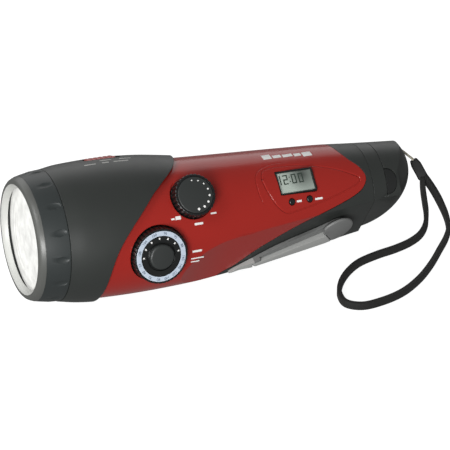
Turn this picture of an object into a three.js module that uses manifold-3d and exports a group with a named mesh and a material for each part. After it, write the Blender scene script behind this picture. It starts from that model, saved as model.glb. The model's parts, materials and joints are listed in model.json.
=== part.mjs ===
// Crank-powered emergency radio and flashlight, lying on a table.
// Millimetres. The body frame has +X from lens to tail; the finished group has +Z up and z = 0 on the table.
// A direction round the body is an angle: 0 faces the front (-Y), 90 faces up (+Z), negative faces down.
import * as THREE from 'three';
import { mergeVertices } from 'three/addons/utils/BufferGeometryUtils.js';
import Module from 'manifold-3d';

const wasm = await Module();
wasm.setup();

// ---------- driving dimensions ----------
const GAP = 0.3;                 // clearance between touching pieces
const WALL = 2.4;                // shell thickness
const TILT = 4;                  // degrees the tail drops while the radio rests on the table
const AXIS_HEIGHT = 36.4;        // height of the body axis above the table at X = 0
const PANEL = 32;                // direction the control panel faces
const BULGE = PANEL - 90;        // direction in which the handle's centre line is offset
const SPLIT = 28;                // direction the front half of the handle faces
const SPLIT_DEPTH = 4.5;         // the split plane lies this far behind the axis
const BACK = SPLIT - 180;        // direction the battery door and speaker face

const SEAM_BEZEL = -107;         // head shell meets the bezel
const SEAM_TAIL = 90;            // handle meets the tail cap
const TAIL = { x: 78.4, length: 47.6, r: 33.1, shift: 8.2, angle: 128 };

// sections of the two lofts: [X, radius, centre offset towards BULGE]
const HANDLE = [[-100, 39.0, 0.8], [-87, 39.2, 1.2], [-60, 38.5, 2.7], [-25, 37.1, 3.3], [6, 35.2, 3.0],
  [27, 33.6, 2.4], [48, 31.7, 1.6], [69, 29.5, 0.6], [90, 27.0, 0], [112, 25.2, 0], [130, 23.8, 0]];
const HEAD = [[SEAM_BEZEL, 38.6, 0.2], [-98, 40.2, 0.5], [-88, 41.1, 0.9], [-78, 41.4, 1.0], [-64, 41.1, 1.0],
  [-48, 40.2, 1.4], [-34, 38.6, 1.8], [-15, 36.2, 2.5], [0, 34.2, 2.8]];

const LIP_FRONT = -125;
const LENS_R = 33.2;
const LENS_X = -118.6;

// each knob's face is centred at a distance and direction from the axis, and looks towards its facing
const VOLUME = { x: -29.5, angle: 45, facing: 40, r: 12.4, face: 43.2, height: 10 };
const TUNING = { x: -54.6, angle: 2, facing: 13, r: 16.4, face: 44.2, height: 11 };
const LCD = { x: 39.1, angle: 47.9, width: 23.8, height: 14.6, level: 31.5 };
const BUTTON = { angle: 26.9, r: 1.9, xs: [33.4, 45.4], levels: [32.6, 31.5] };
const LAMP_SWITCH = { x: -71, angle: 113, length: 23, width: 10, level: 40.2 };
const JACK = { x: 99.4, angle: 33, height: 15.6, depth: 7.4 };

const CRANK = { x: 66, side: 2, level: 24.2, slope: 0.115, angle: PANEL - 60, swing: 16.2 };
// the arm in its own frame: a thin web with a round pad over the spindle and a thicker tip
const ARM = { base: 0.4, web: 2.2, pad: 5, padR: 11, reach: 70, tipFrom: -50, tipTop: 3.8 };
const WEB_UPPER = [[-8, 6.2], [-30, 5.9], [-40, 5.2], [-48, 3.6], [-56, 1.8], [-63, 0.6], [-69, -1]];
const WEB_LOWER = [[-68, -2.4], [-58, -3.5], [-41, -5.4], [-25, -7.4], [-8, -9.2]];
const GRIP = { x0: -55.2, x1: -6.9, y: 0.3, lean: 3.4, top: 5.4, fall: 0.035, base: 0.8 };
const PIN = { r: 0.7, x: -53, z: 2.3, from: -2.2, to: 1.7 };
const GEAR = { module: 0.9, teeth: 26, pinionTeeth: 12, z: -8.4, thick: 3 };

const CELL = { r: 7.25, length: 49.5, x: 0.4, depth: 13.5 };
const DOOR = { x0: -5, x1: 55, half: 14 };
const SPEAKER = { x: -33, r: 18, level: 27.1 };

// ---------- materials ----------
function paint(color, roughness, metalness = 0) {
  return new THREE.MeshStandardMaterial({ color, roughness, metalness });
}

const RED = paint(0x9c2f2f, 0.3);
const GREY = paint(0x434744, 0.5);
const BLACK = paint(0x151617, 0.4);
const SILVER = paint(0x9a9c9a, 0.4);
const PALE_SILVER = paint(0xb4b6b2, 0.4);
const WHITE = paint(0xd5dbe6, 0.4);
const CLEAR = paint(0xf4f6f6, 0.05);
const MIRROR = paint(0xe8e8e8, 0.1, 1);
const STEEL = paint(0xa8a8a8, 0.3, 1);
const BOARD = paint(0x1f5a35, 0.5);
const BRASS = paint(0xb59a4a, 0.3, 1);
const DISPLAY = paint(0x9aa79a, 0.3);
const RUBBER = paint(0x1d1e1f, 0.8);
const CELL_SKIN = paint(0x2f5d8a, 0.4);
const FERRITE = paint(0x3a3636, 0.7);
const COPPER = paint(0xa8622f, 0.4, 1);
const CORD_CLEAR = paint(0xd8d3bf, 0.4);

// ---------- solids ----------
function signedVolume(position, index) {
  const [a, b, c] = [new THREE.Vector3(), new THREE.Vector3(), new THREE.Vector3()];
  let volume = 0;
  for (let i = 0; i < index.count; i += 3) {
    a.fromBufferAttribute(position, index.getX(i));
    b.fromBufferAttribute(position, index.getX(i + 1));
    c.fromBufferAttribute(position, index.getX(i + 2));
    volume += a.dot(b.cross(c)) / 6;
  }
  return volume;
}

function toSolid(geometry) {
  const plain = geometry.clone();
  plain.deleteAttribute('normal');
  plain.deleteAttribute('uv');
  const merged = mergeVertices(plain, 1e-4);
  const triVerts = Uint32Array.from(merged.index.array);
  if (signedVolume(merged.attributes.position, merged.index) < 0) {
    for (let i = 0; i < triVerts.length; i += 3) {
      [triVerts[i], triVerts[i + 1]] = [triVerts[i + 1], triVerts[i]];
    }
  }
  const vertProperties = new Float32Array(merged.attributes.position.array);
  const mesh = new wasm.Mesh({ numProp: 3, vertProperties, triVerts });
  mesh.merge();
  return new wasm.Manifold(mesh);
}

function toGeometry(solid) {
  const { vertProperties, triVerts } = solid.getMesh();
  const geometry = new THREE.BufferGeometry();
  geometry.setAttribute('position', new THREE.BufferAttribute(new Float32Array(vertProperties), 3));
  geometry.setIndex(new THREE.BufferAttribute(new Uint32Array(triVerts), 1));
  return geometry;
}

const cutAll = (solid, tools) => tools.reduce((left, tool) => left.subtract(tool), solid);
const joinAll = (solids) => solids.reduce((sum, piece) => sum.add(piece));

// ---------- placing ----------
const rad = THREE.MathUtils.degToRad;
const X_AXIS = new THREE.Vector3(1, 0, 0);
const outward = (angle) => new THREE.Vector3(0, -Math.cos(rad(angle)), Math.sin(rad(angle)));
const around = (angle) => new THREE.Vector3(0, Math.sin(rad(angle)), Math.cos(rad(angle)));

// a frame on the body: local x along the body, local y round it, local z outward
function radialFrame(x, angle, level) {
  const frame = new THREE.Matrix4().makeBasis(X_AXIS, around(angle), outward(angle));
  return frame.setPosition(outward(angle).multiplyScalar(level).add(new THREE.Vector3(x, 0, 0)));
}

// a knob's frame: local z runs out along its shaft, from the floor of its seat
function knobFrame(knob) {
  const frame = new THREE.Matrix4().makeBasis(X_AXIS, around(knob.facing), outward(knob.facing));
  const origin = outward(knob.angle).multiplyScalar(knob.face);
  origin.addScaledVector(outward(knob.facing), -knob.height).setX(knob.x);
  return frame.setPosition(origin);
}

// the crank's frame: local z is the crank spindle, local x runs to the tail in the plane of the crank
function crankFrame() {
  const n = outward(CRANK.angle).addScaledVector(X_AXIS, CRANK.slope).normalize();
  const y = around(CRANK.angle);
  const x = y.clone().cross(n);
  const origin = outward(CRANK.angle).multiplyScalar(CRANK.level).addScaledVector(y, CRANK.side);
  return new THREE.Matrix4().makeBasis(x, y, n).setPosition(origin.setX(CRANK.x));
}

const movedBy = (geometry, frame) => geometry.clone().applyMatrix4(frame);
const solidIn = (geometry, frame) => toSolid(movedBy(geometry, frame));

// ---------- outlines and simple bodies ----------
// closed profile of [r, z] points turned about local z
function turned(points, segments = 32) {
  const profile = points.map(([r, z]) => new THREE.Vector2(r, z));
  if (points[0][0] > 0) profile.push(profile[0].clone());
  return new THREE.LatheGeometry(profile, segments).rotateX(Math.PI / 2);
}

// closed profile of [x, r] points turned about the body axis
function turnedAlongX(points, segments = 36) {
  return turned(points.map(([x, r]) => [r, x]), segments).rotateY(Math.PI / 2);
}

function rod(r, z0, z1, segments = 24, x = 0, y = 0) {
  return turned([[0, z0], [r, z0], [r, z1], [0, z1]], segments).translate(x, y, 0);
}

function box(x0, x1, y0, y1, z0, z1) {
  const plain = new THREE.BoxGeometry(x1 - x0, y1 - y0, z1 - z0);
  return plain.translate((x0 + x1) / 2, (y0 + y1) / 2, (z0 + z1) / 2);
}

function plate(shape, z0, z1, curveSegments = 8) {
  const settings = { depth: z1 - z0, bevelEnabled: false, curveSegments };
  return new THREE.ExtrudeGeometry(shape, settings).translate(0, 0, z0);
}

function polygon(points) {
  return new THREE.Shape(points.map(([x, y]) => new THREE.Vector2(x, y)));
}

// circles strung along X, each [X, radius, offset]; grow swells every circle
function loft(sections, grow, x0, x1, rings = 22, segments = 56) {
  const points = sections.map((s) => new THREE.Vector3(...s));
  const lookup = new THREE.CatmullRomCurve3(points, false, 'centripetal').getPoints(400);
  const sectionAt = (x) => {
    const next = Math.max(1, lookup.findIndex((p) => p.x >= x));
    const [a, b] = [lookup[next - 1], lookup[next]];
    return a.clone().lerp(b, (x - a.x) / (b.x - a.x));
  };
  const position = [];
  for (let i = 0; i <= rings; i += 1) {
    const x = x0 + ((x1 - x0) * i) / rings;
    const { y: radius, z: offset } = sectionAt(x);
    const centre = outward(BULGE).multiplyScalar(offset);
    for (let j = 0; j < segments; j += 1) {
      const spoke = outward((360 * j) / segments).multiplyScalar(radius + grow);
      position.push(x, centre.y + spoke.y, centre.z + spoke.z);
    }
  }
  position.push(x0, 0, 0, x1, 0, 0);
  const [startHub, endHub] = [segments * (rings + 1), segments * (rings + 1) + 1];
  const index = [];
  for (let j = 0; j < segments; j += 1) {
    const k = (j + 1) % segments;
    for (let i = 0; i < rings; i += 1) {
      const [a, b] = [i * segments, (i + 1) * segments];
      index.push(a + j, b + j, b + k, a + j, b + k, a + k);
    }
    index.push(startHub, j, k, endHub, rings * segments + k, rings * segments + j);
  }
  const geometry = new THREE.BufferGeometry();
  geometry.setAttribute('position', new THREE.Float32BufferAttribute(position, 3));
  geometry.setIndex(index);
  return geometry;
}

// ---------- regions of the shells ----------
const panelFrame = radialFrame(0, PANEL, 0);
const THROUGH = 70;

// where the head shell ends, seen square to the panel: it runs diagonally round the body
function headEdge(shift) {
  const points = [[-90, -60], [-86.5, -40], [-79, -15], [-57, 10], [-47, 18.5], [-29, 33], [-12, 60]];
  return points.map(([x, side]) => new THREE.Vector2(x + shift, side));
}

function headRegion(shift) {
  const shape = new THREE.Shape();
  shape.moveTo(-130, -60);
  shape.lineTo(-90 + shift, -60);
  shape.splineThru(headEdge(shift).slice(1));
  shape.lineTo(-130, 60);
  return movedBy(plate(shape, -THROUGH, THROUGH, 2), panelFrame);
}

// the red panel runs to a blunt point near the tail
function panelRegion(grow) {
  const shape = new THREE.Shape();
  shape.moveTo(-100, -60);
  shape.lineTo(-14 + grow, -60);
  const lower = [[-9, -41], [4, -34], [16.5, -26.6], [39.5, -16.7], [62, -9.8], [75, -5.4]];
  const tip = [[82.5, -1.2], [86, 5], [83, 12], [77.5, 18], [73, 28.5], [69, 60]];
  const shifted = [...lower, ...tip].map(([x, side]) => new THREE.Vector2(x + grow, side - grow * 0.6));
  shape.splineThru(shifted);
  shape.lineTo(-100, 60);
  return movedBy(plate(shape, -THROUGH, THROUGH, 2), panelFrame);
}

function frontHalf(shift) {
  return movedBy(box(-150, 150, -80, 80, -SPLIT_DEPTH + shift, 90), radialFrame(0, SPLIT, 0));
}

const tableInBody = new THREE.Matrix4().makeRotationY(rad(TILT)).setPosition(0, 0, AXIS_HEIGHT).invert();
const aboveTable = solidIn(box(-200, 200, -200, 200, 0, 300), tableInBody);

// the crank turns over a flat that curves out into the round body past the tip of the arm
function crankFlat() {
  const [start, curve, run] = [-ARM.reach - 1.5, 120, 60];
  const ramp = [];
  for (let i = 1; i <= 10; i += 1) ramp.push([start - (run * i) / 10, ((run * i) / 10) ** 2 / (2 * curve)]);
  const outline = polygon([[90, 0], [start, 0], ...ramp, [start - run, 60], [90, 60]]);
  const flat = plate(outline, -60, 60).rotateX(Math.PI / 2);
  return solidIn(flat, crankFrame());
}

// the tail ends in a dome whose centre is lifted towards the strap, which leaves a sharp edge there
function tailDome(shrink) {
  const dome = new THREE.SphereGeometry(1, 32, 18).rotateZ(Math.PI / 2);
  dome.scale(TAIL.length - shrink, TAIL.r - shrink, TAIL.r - shrink);
  return solidIn(dome, radialFrame(TAIL.x, TAIL.angle, TAIL.shift));
}

const handleOuter = toSolid(loft(HANDLE, 0, -99, 129, 15, 44));
const handleInner = toSolid(loft(HANDLE, -WALL, -99.5, 129.5, 8, 24));
const headOuter = toSolid(loft(HEAD, 0, SEAM_BEZEL, -2, 10, 44));
const headInner = toSolid(loft(HEAD, -WALL, SEAM_BEZEL - 1, -1, 6, 24));
const flatTool = crankFlat();
const flatInner = solidIn(box(-120, 120, -70, 70, -WALL, 60), crankFrame());

// ---------- head ----------
function makeBezel() {
  const back = SEAM_BEZEL - GAP;
  const outside = [[back, 38.4], [-113, 38.0], [-121, 36.4], [-123.8, 35.2], [LIP_FRONT, 33.2]];
  const inside = [[LIP_FRONT + 0.2, 31.6], [-123.6, 30.2], [-121.4, 29.7], [-121.4, 31.6], [-120.9, 34.4]];
  const wall = turnedAlongX([...outside, ...inside, [back, 34.4]]);
  const scoops = [];
  for (let angle = 8; angle < 360; angle += 24) {
    const scoop = new THREE.SphereGeometry(1, 8, 5).scale(6, 2.6, 1.3);
    scoops.push(solidIn(scoop, radialFrame(-114, angle, 38.6)));
  }
  return cutAll(toSolid(wall), scoops);
}

function makeLens() {
  const front = [[LENS_X - 1.6, 0], [LENS_X - 1.2, 18], [LENS_X - 0.4, 29], [LENS_X - 0.4, LENS_R]];
  const back = [[LENS_X + 1.6, LENS_R], [LENS_X + 1.6, 29], [LENS_X + 0.8, 0]];
  return toSolid(turnedAlongX([...front, ...back], 28));
}

function makeReflector() {
  const [mouth, base, focus] = [-116.2, -95.5, 2.6];
  const inside = [];
  for (let i = 0; i <= 5; i += 1) {
    const x = mouth + ((base - mouth) * i) / 5;
    inside.push([x, Math.sqrt(4 * focus * (base + 4 - x)) * 1.95]);
  }
  const outside = inside.map(([x, r]) => [x, r + 1.5]).reverse();
  return toSolid(turnedAlongX([...inside, ...outside], 28));
}

function gasket() {
  return toSolid(turnedAlongX([[-116.7, 33.1], [-116.7, 34.1], [-113.5, 34.1], [-113.5, 33.1]], 24));
}

const ledBoard = () => toSolid(turnedAlongX([[-94.9, 0], [-94.9, 16], [-93.3, 16], [-93.3, 0]], 28));

function led(x, r, angle) {
  const bulb = turned([[0, 0], [2.5, 0], [2.5, 4], [1.8, 6], [0, 7]], 12).rotateY(-Math.PI / 2);
  const place = outward(angle).multiplyScalar(r).setX(x);
  return solidIn(bulb, new THREE.Matrix4().setPosition(place));
}

// ---------- shells ----------
function makeHeadShell() {
  const region = toSolid(headRegion(0));
  const ring = headOuter.subtract(headInner).intersect(region);
  const frame = radialFrame(LAMP_SWITCH.x, LAMP_SWITCH.angle, LAMP_SWITCH.level);
  const [half, wide] = [LAMP_SWITCH.length / 2, LAMP_SWITCH.width / 2];
  const pad = solidIn(box(-half - 2, half + 2, -wide - 2, wide + 2, -4.6, -1.2), frame).intersect(headOuter);
  const pocket = solidIn(box(-half, half, -wide, wide, -2.4, 6), frame);
  const slot = solidIn(box(-6, 6, -2, 2, -8, 0), frame);
  return ring.add(pad).subtract(pocket).subtract(slot).intersect(aboveTable);
}

function seatFor(knob, shaftR) {
  const frame = knobFrame(knob);
  const boss = solidIn(rod(knob.r + 2.6, -2, 12, 32), frame).intersect(handleOuter);
  const pocket = solidIn(rod(knob.r + 0.8, 0, 20, 32), frame);
  const hole = solidIn(rod(shaftR + GAP, -10, 5, 16), frame);
  return { boss, cuts: [pocket, hole] };
}

function lcdOpening(extra, z0, z1) {
  const [w, h] = [LCD.width / 2 + extra, LCD.height / 2 + extra];
  return solidIn(box(-w, w, -h, h, z0, z1), radialFrame(LCD.x, LCD.angle, LCD.level));
}

const buttonFrame = (i) => radialFrame(BUTTON.xs[i], BUTTON.angle, BUTTON.levels[i]);

const rawHandle = () => handleOuter.subtract(flatTool).subtract(handleInner.subtract(flatInner));

function makeFrontShell() {
  const volume = seatFor(VOLUME, 3);
  const tuning = seatFor(TUNING, 3);
  const panel = toSolid(panelRegion(0)).intersect(toSolid(frontHalf(GAP / 2)));
  const region = panel.subtract(toSolid(headRegion(GAP)));
  const shell = rawHandle().add(volume.boss).add(tuning.boss).intersect(region).subtract(flatTool);
  const holes = [0, 1].map((i) => solidIn(rod(BUTTON.r + GAP, -8, 8, 16), buttonFrame(i)));
  const tools = [...volume.cuts, ...tuning.cuts, lcdOpening(GAP, -8, 8), ...holes];
  return cutAll(shell, tools).intersect(aboveTable);
}

function backWindow(x0, x1, half, z0 = 0, z1 = 60) {
  return solidIn(box(x0, x1, -half, half, z0, z1), radialFrame(0, BACK, 0));
}

function speakerSlots() {
  const slots = [];
  for (let row = -3; row <= 3; row += 1) {
    const y = row * 4.4;
    const half = Math.sqrt(15.5 ** 2 - y ** 2);
    slots.push(solidIn(box(-half, half, y - 1, y + 1, 10, 60), radialFrame(SPEAKER.x, BACK, 0)));
  }
  return slots;
}

const SCREWS = [{ x: -11, angle: 158, level: 31.8 }, { x: 72, angle: 165, level: 27.2 },
  { x: 72, angle: -118, level: 27.6 }];

function screwHole({ x, angle, level }) {
  const frame = radialFrame(x, angle, level);
  return solidIn(turned([[0, -9], [1.8, -9], [1.8, -1.1], [3.3, -1.1], [3.3, 9], [0, 9]], 16), frame);
}

function screw({ x, angle, level }) {
  const body = turned([[0, -8], [1.5, -8], [1.5, -0.8], [3, -0.8], [3, 0.4], [2.2, 1.2], [0, 1.4]], 16);
  const slots = [box(-2, 2, -0.35, 0.35, 0.5, 3), box(-0.35, 0.35, -2, 2, 0.5, 3)].map(toSolid);
  const solid = cutAll(toSolid(body), slots);
  return solidIn(toGeometry(solid), radialFrame(x, angle, level));
}

function makeRearShell() {
  const shell = rawHandle().intersect(toSolid(box(-105, SEAM_TAIL - GAP / 2, -80, 80, -80, 80)));
  const red = toSolid(panelRegion(GAP)).intersect(toSolid(frontHalf(-GAP / 2)));
  const spindle = solidIn(rod(4.3, -12, 6, 20), crankFrame());
  const tools = [red, toSolid(headRegion(GAP)), spindle, flatTool, backWindow(DOOR.x0, DOOR.x1, DOOR.half)];
  const bosses = SCREWS.map(({ x, angle, level }) => {
    const boss = rod(4.6, -8, 6, 16);
    return solidIn(boss, radialFrame(x, angle, level));
  });
  const bossed = shell.add(joinAll(bosses).intersect(handleOuter));
  return cutAll(bossed, [...tools, ...speakerSlots(), ...SCREWS.map(screwHole)]).intersect(aboveTable);
}

function makeBatteryDoor() {
  const panel = handleOuter.subtract(toSolid(loft(HANDLE, -2, -99.5, 129.5, 8, 24)));
  const door = panel.intersect(backWindow(DOOR.x0 + GAP, DOOR.x1 - GAP, DOOR.half - GAP));
  const thumb = new THREE.SphereGeometry(1, 12, 8).scale(2, 6, 1.2);
  return door.subtract(solidIn(thumb, radialFrame(DOOR.x1 - 7, BACK, 31))).intersect(aboveTable);
}

// ---------- tail ----------
function makeTailCap() {
  const outer = handleOuter.intersect(tailDome(0)).subtract(flatTool);
  const inside = toSolid(loft(HANDLE, -WALL, SEAM_TAIL - 5, 122, 5, 24));
  const room = inside.intersect(tailDome(WALL)).subtract(flatInner);
  const start = toSolid(box(SEAM_TAIL + GAP / 2, 140, -60, 60, -60, 60));
  const dish = solidIn(plate(jackOutline(0.2), -1.9, 12), jackFrame());
  const backing = solidIn(box(-2, 9.5, -9.5, 9.5, -4, -1), jackFrame()).intersect(handleOuter);
  const jackHole = solidIn(rod(3.2, -12, 2, 16, 3.2, 0), jackFrame());
  const shell = outer.intersect(start).subtract(room).add(pocketWalls()).add(backing);
  return cutAll(shell, [dish, jackHole, strapPocket()]);
}

const jackFrame = () => radialFrame(JACK.x, JACK.angle, 25.6);

function jackOutline(grow) {
  const shape = new THREE.Shape();
  const half = JACK.height / 2 + grow;
  shape.moveTo(-grow, -half);
  shape.bezierCurveTo(JACK.depth * 0.75 + grow, -half, JACK.depth + grow, -half * 0.5, JACK.depth + grow, 0);
  shape.bezierCurveTo(JACK.depth + grow, half * 0.5, JACK.depth * 0.75 + grow, half, -grow, half);
  return shape;
}

function makeJackCover() {
  const lid = solidIn(plate(jackOutline(-0.25), -1.6, 0.6, 6), jackFrame());
  const skin = toSolid(loft(HANDLE, -0.3, SEAM_TAIL, 122, 3, 44));
  const plug = solidIn(rod(2.2, -2.7, -1.2, 14, 3.2, 0), jackFrame());
  return lid.intersect(skin).add(plug);
}

function jackSocket() {
  const barrel = turned([[0, -15], [3.9, -15], [3.9, -4.6], [2.6, -4.6], [2.6, -9], [0, -9]], 16);
  return solidIn(barrel.translate(3.2, 0, 0), jackFrame());
}

// a pocket near the top edge of the dome, with a bar across it that the strap's cord goes round
const LUG = { x: 124.2, angle: 125, r: 16.6, deep: 6.5, bar: 1.1 };

function strapPocket() {
  const frame = radialFrame(LUG.x, LUG.angle, LUG.r);
  const hollow = solidIn(box(-LUG.deep, 6, -3.4, 3.4, -3.2, 3.2), frame);
  const bar = rod(LUG.bar, -5, 5, 10).rotateX(Math.PI / 2).translate(-2.2, 0, 0);
  return hollow.subtract(solidIn(bar, frame));
}

function pocketWalls() {
  const walls = solidIn(box(-LUG.deep - 1.6, 6, -5, 5, -4.8, 4.8), radialFrame(LUG.x, LUG.angle, LUG.r));
  return walls.intersect(tailDome(0.2)).intersect(toSolid(loft(HANDLE, -0.2, SEAM_TAIL, 129, 5, 24)));
}

// ---------- crank ----------
const armFrame = () => crankFrame().multiply(new THREE.Matrix4().makeRotationZ(rad(CRANK.swing)));

function webOutline() {
  const shape = new THREE.Shape();
  shape.moveTo(0, 7);
  shape.splineThru(WEB_UPPER.map(([x, y]) => new THREE.Vector2(x, y)));
  shape.lineTo(-ARM.reach, -1.8);
  shape.lineTo(...WEB_LOWER[0]);
  shape.splineThru(WEB_LOWER.slice(1).map(([x, y]) => new THREE.Vector2(x, y)));
  shape.lineTo(0, -9.4);
  shape.absarc(0, -1.2, 8.2, -Math.PI / 2, Math.PI / 2, false);
  return shape;
}

// everything under a plane that falls towards the tip of the arm
function underSlope(x, z, fall) {
  return toSolid(box(-80, 30, -30, 30, -12, 0).rotateY(-fall).translate(x, 0, z));
}

// the grip's outline; its end at the pad leans, and inset keeps it clear of the arm
function gripOutline(inset, depth) {
  const [x0, x1, y] = [GRIP.x0 + inset, GRIP.x1 - inset, GRIP.y - inset];
  return polygon([[x0, y], [x0, -depth], [x1 + (GRIP.lean * depth) / 10, -depth], [x1, y]]);
}

// a rod along the grip's hinge line, from one side of the arm to the other
function pinRod(r, from, to, segments = 12) {
  return toSolid(rod(r, from, to, segments).rotateX(-Math.PI / 2).translate(PIN.x, 0, PIN.z));
}

function makeCrankArm() {
  const web = toSolid(plate(webOutline(), ARM.base, ARM.web, 12));
  const tip = toSolid(plate(webOutline(), ARM.base, ARM.tipTop, 12))
    .intersect(toSolid(box(-80, ARM.tipFrom, -20, 20, -5, 12)))
    .intersect(underSlope(-54, ARM.tipTop, 0.17));
  const [r, top] = [ARM.padR, ARM.pad];
  const under = [[0, ARM.base], [6.5, ARM.base], [8.2, ARM.web], [r, 3.4]];
  const disc = toSolid(turned([...under, [r, top - 0.4], [r - 0.4, top], [0, top]], 40));
  const pad = disc.subtract(toSolid(box(-20, -8, -20, 20, -5, 12)));
  const bay = toSolid(plate(gripOutline(0, 14), -1, 12));
  const socket = toSolid(rod(3.2 + GAP, -1, 2.6, 6));
  const screwHole = toSolid(rod(1.7, -1, 4, 12));
  const pinHole = pinRod(PIN.r + GAP, -12, PIN.to + GAP);
  return cutAll(joinAll([web, tip, pad]), [bay, pinHole, socket, screwHole]);
}

function makeCrankGrip() {
  const bar = toSolid(plate(gripOutline(GAP, 14), GRIP.base, GRIP.top));
  const beyond = toSolid(box(-70, PIN.x, -20, 20, -5, 12)).subtract(pinRod(PIN.z - GRIP.base, -20, 12, 16));
  const shaped = bar.intersect(underSlope(GRIP.x1, GRIP.top, GRIP.fall))
    .intersect(toSolid(plate(webOutline(), 0, 12, 12)));
  return shaped.subtract(beyond).subtract(pinRod(PIN.r + GAP, -12, 6));
}

const gripPin = () => pinRod(PIN.r, PIN.from, PIN.to);

// the arm is held from inside, by a screw up through the hollow spindle
function crankScrew() {
  const body = turned([[0, -12.8], [3, -12.8], [3, -11.2], [1.4, -11.2], [1.4, 3.6], [0, 3.6]], 20);
  const slots = [box(-2.4, 2.4, -0.4, 0.4, -14, -12), box(-0.4, 0.4, -2.4, 2.4, -14, -12)];
  return cutAll(toSolid(body), slots.map(toSolid));
}

function makeCrankShaft() {
  const shaft = toSolid(rod(3.9, -11, -0.4, 20)).add(toSolid(rod(3.2, -0.6, 2.3, 6)));
  return shaft.subtract(toSolid(rod(1.7, -12, 9, 12)));
}

// involute spur gear, with a little backlash
function gearShape(teeth, boreR, turn) {
  const pitch = (GEAR.module * teeth) / 2;
  const base = pitch * Math.cos(rad(20));
  const [root, crest] = [pitch - 1.15 * GEAR.module, pitch + 0.85 * GEAR.module];
  const involute = (r) => (r <= base ? 0 : Math.sqrt((r / base) ** 2 - 1) - Math.acos(base / r));
  const halfAt = (r) => Math.PI / (2 * teeth) - 0.2 / pitch + involute(pitch) - involute(r);
  const flank = [root, pitch, crest];
  const shape = new THREE.Shape();
  for (let tooth = 0; tooth < teeth; tooth += 1) {
    const centre = (2 * Math.PI * tooth) / teeth + turn;
    const rise = flank.map((r) => [r, centre - halfAt(r)]);
    const fall = flank.map((r) => [r, centre + halfAt(r)]).reverse();
    for (const [r, a] of [...rise, ...fall]) {
      const [x, y] = [r * Math.cos(a), r * Math.sin(a)];
      if (tooth === 0 && r === root && a < centre) shape.moveTo(x, y);
      else shape.lineTo(x, y);
    }
  }
  if (boreR > 0) shape.holes.push(new THREE.Path().absarc(0, 0, boreR, 0, 2 * Math.PI, true));
  return shape;
}

const GEAR_CENTRES = (GEAR.module * (GEAR.teeth + GEAR.pinionTeeth)) / 2 + 0.1;
const driveGear = () => toSolid(plate(gearShape(GEAR.teeth, 4.2, Math.PI), GEAR.z, GEAR.z + GEAR.thick, 5));

function dynamoRotor() {
  const teeth = gearShape(GEAR.pinionTeeth, 0, Math.PI / GEAR.pinionTeeth);
  const pinion = plate(teeth, GEAR.z, GEAR.z + GEAR.thick);
  const spindle = rod(1.2, -16, GEAR.z + 0.2, 12);
  return toSolid(pinion).add(toSolid(spindle)).add(toSolid(rod(6.4, -16.4, -12.4, 24)));
}

const dynamoCan = () => toSolid(turned([[2, -19], [10, -19], [10, -10], [1.9, -10], [1.9, -11.6],
  [7.4, -11.6], [7.4, -17.4], [2, -17.4]], 28));

// ---------- controls ----------
function ribbedKnob(r, base, top, ribs, depth) {
  const body = toSolid(turned([[0, base], [r, base], [r, top - 1], [r - 1, top], [0, top]], 32));
  const grooves = [];
  for (let i = 0; i < ribs; i += 1) {
    const angle = (2 * Math.PI * i) / ribs;
    const [x, y] = [(r + 0.1) * Math.cos(angle), (r + 0.1) * Math.sin(angle)];
    grooves.push(toSolid(rod(depth, base + 2, top + 2, 5, x, y)));
  }
  return cutAll(body, grooves);
}

function makeVolumeKnob() {
  const knob = ribbedKnob(VOLUME.r, 0.4, VOLUME.height, 20, 0.9);
  return knob.subtract(toSolid(rod(3 + GAP, -1, 5.3, 16)));
}

function makeTuningKnob() {
  const top = TUNING.height;
  const knob = ribbedKnob(TUNING.r, 0.4, top, 24, 0.7);
  const groove = turned([[11.9, top - 0.8], [15.4, top - 0.8], [15.4, top + 2], [11.9, top + 2]], 32);
  const dish = turned([[7.6, top - 0.9], [10.2, top - 0.9], [10.4, top + 2], [7.6, top + 2]], 28);
  const centre = turned([[0, top - 1], [7.4, top - 1], [7.4, top + 1.4], [6.6, top + 2.2], [0, top + 2.2]], 24);
  const ringed = cutAll(knob, [groove, dish].map(toSolid)).add(toSolid(centre));
  return ringed.subtract(toSolid(rod(3 + GAP, -1, 5.3, 16)));
}

function tuningScale() {
  const [low, high] = [TUNING.height - 0.5, TUNING.height + 0.1];
  return toSolid(turned([[12.2, low], [15.1, low], [15.1, high], [12.2, high]], 32));
}

const volumePot = () => toSolid(turned([[0, -11], [8, -11], [8, -2.4], [3, -2.4], [3, 5], [0, 5]], 24));

function tuningCapacitor() {
  return toSolid(box(-9, 9, -9, 9, -14, -2.4)).add(toSolid(rod(3, -3, 5, 16)));
}

function lampSwitchKnob() {
  const [half, wide] = [8.4, LAMP_SWITCH.width / 2 - GAP];
  const cap = toSolid(box(-half, half, -wide, wide, -2.1, 0.1));
  const ridges = [-6, -3, 0, 3, 6].map((x) => toSolid(box(x - 0.5, x + 0.5, -wide - 1, wide + 1, -0.4, 3)));
  return cutAll(cap, ridges).add(toSolid(box(-2.4, 2.4, -1.6, 1.6, -6, -2)));
}

function lampSwitchBody() {
  return toSolid(box(-8.5, 8.5, -4.5, 4.5, -14, -5.2)).subtract(toSolid(box(-6, 6, -1.9, 1.9, -6.8, 0)));
}

function lcdFrame() {
  const [w, h] = [LCD.width / 2, LCD.height / 2];
  const rim = toSolid(box(-w, w, -h, h, -2.6, 0.5));
  return rim.subtract(toSolid(box(-w + 0.8, w - 0.8, -h + 0.8, h - 0.8, -4, 4)));
}

function lcdPane() {
  const [w, h] = [LCD.width / 2 - 1.1, LCD.height / 2 - 1.1];
  return toSolid(box(-w, w, -h, h, -1.2, 0));
}

const lcdModule = () => toSolid(box(-12, 12, -7, 7, -8, -4.2));

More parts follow.
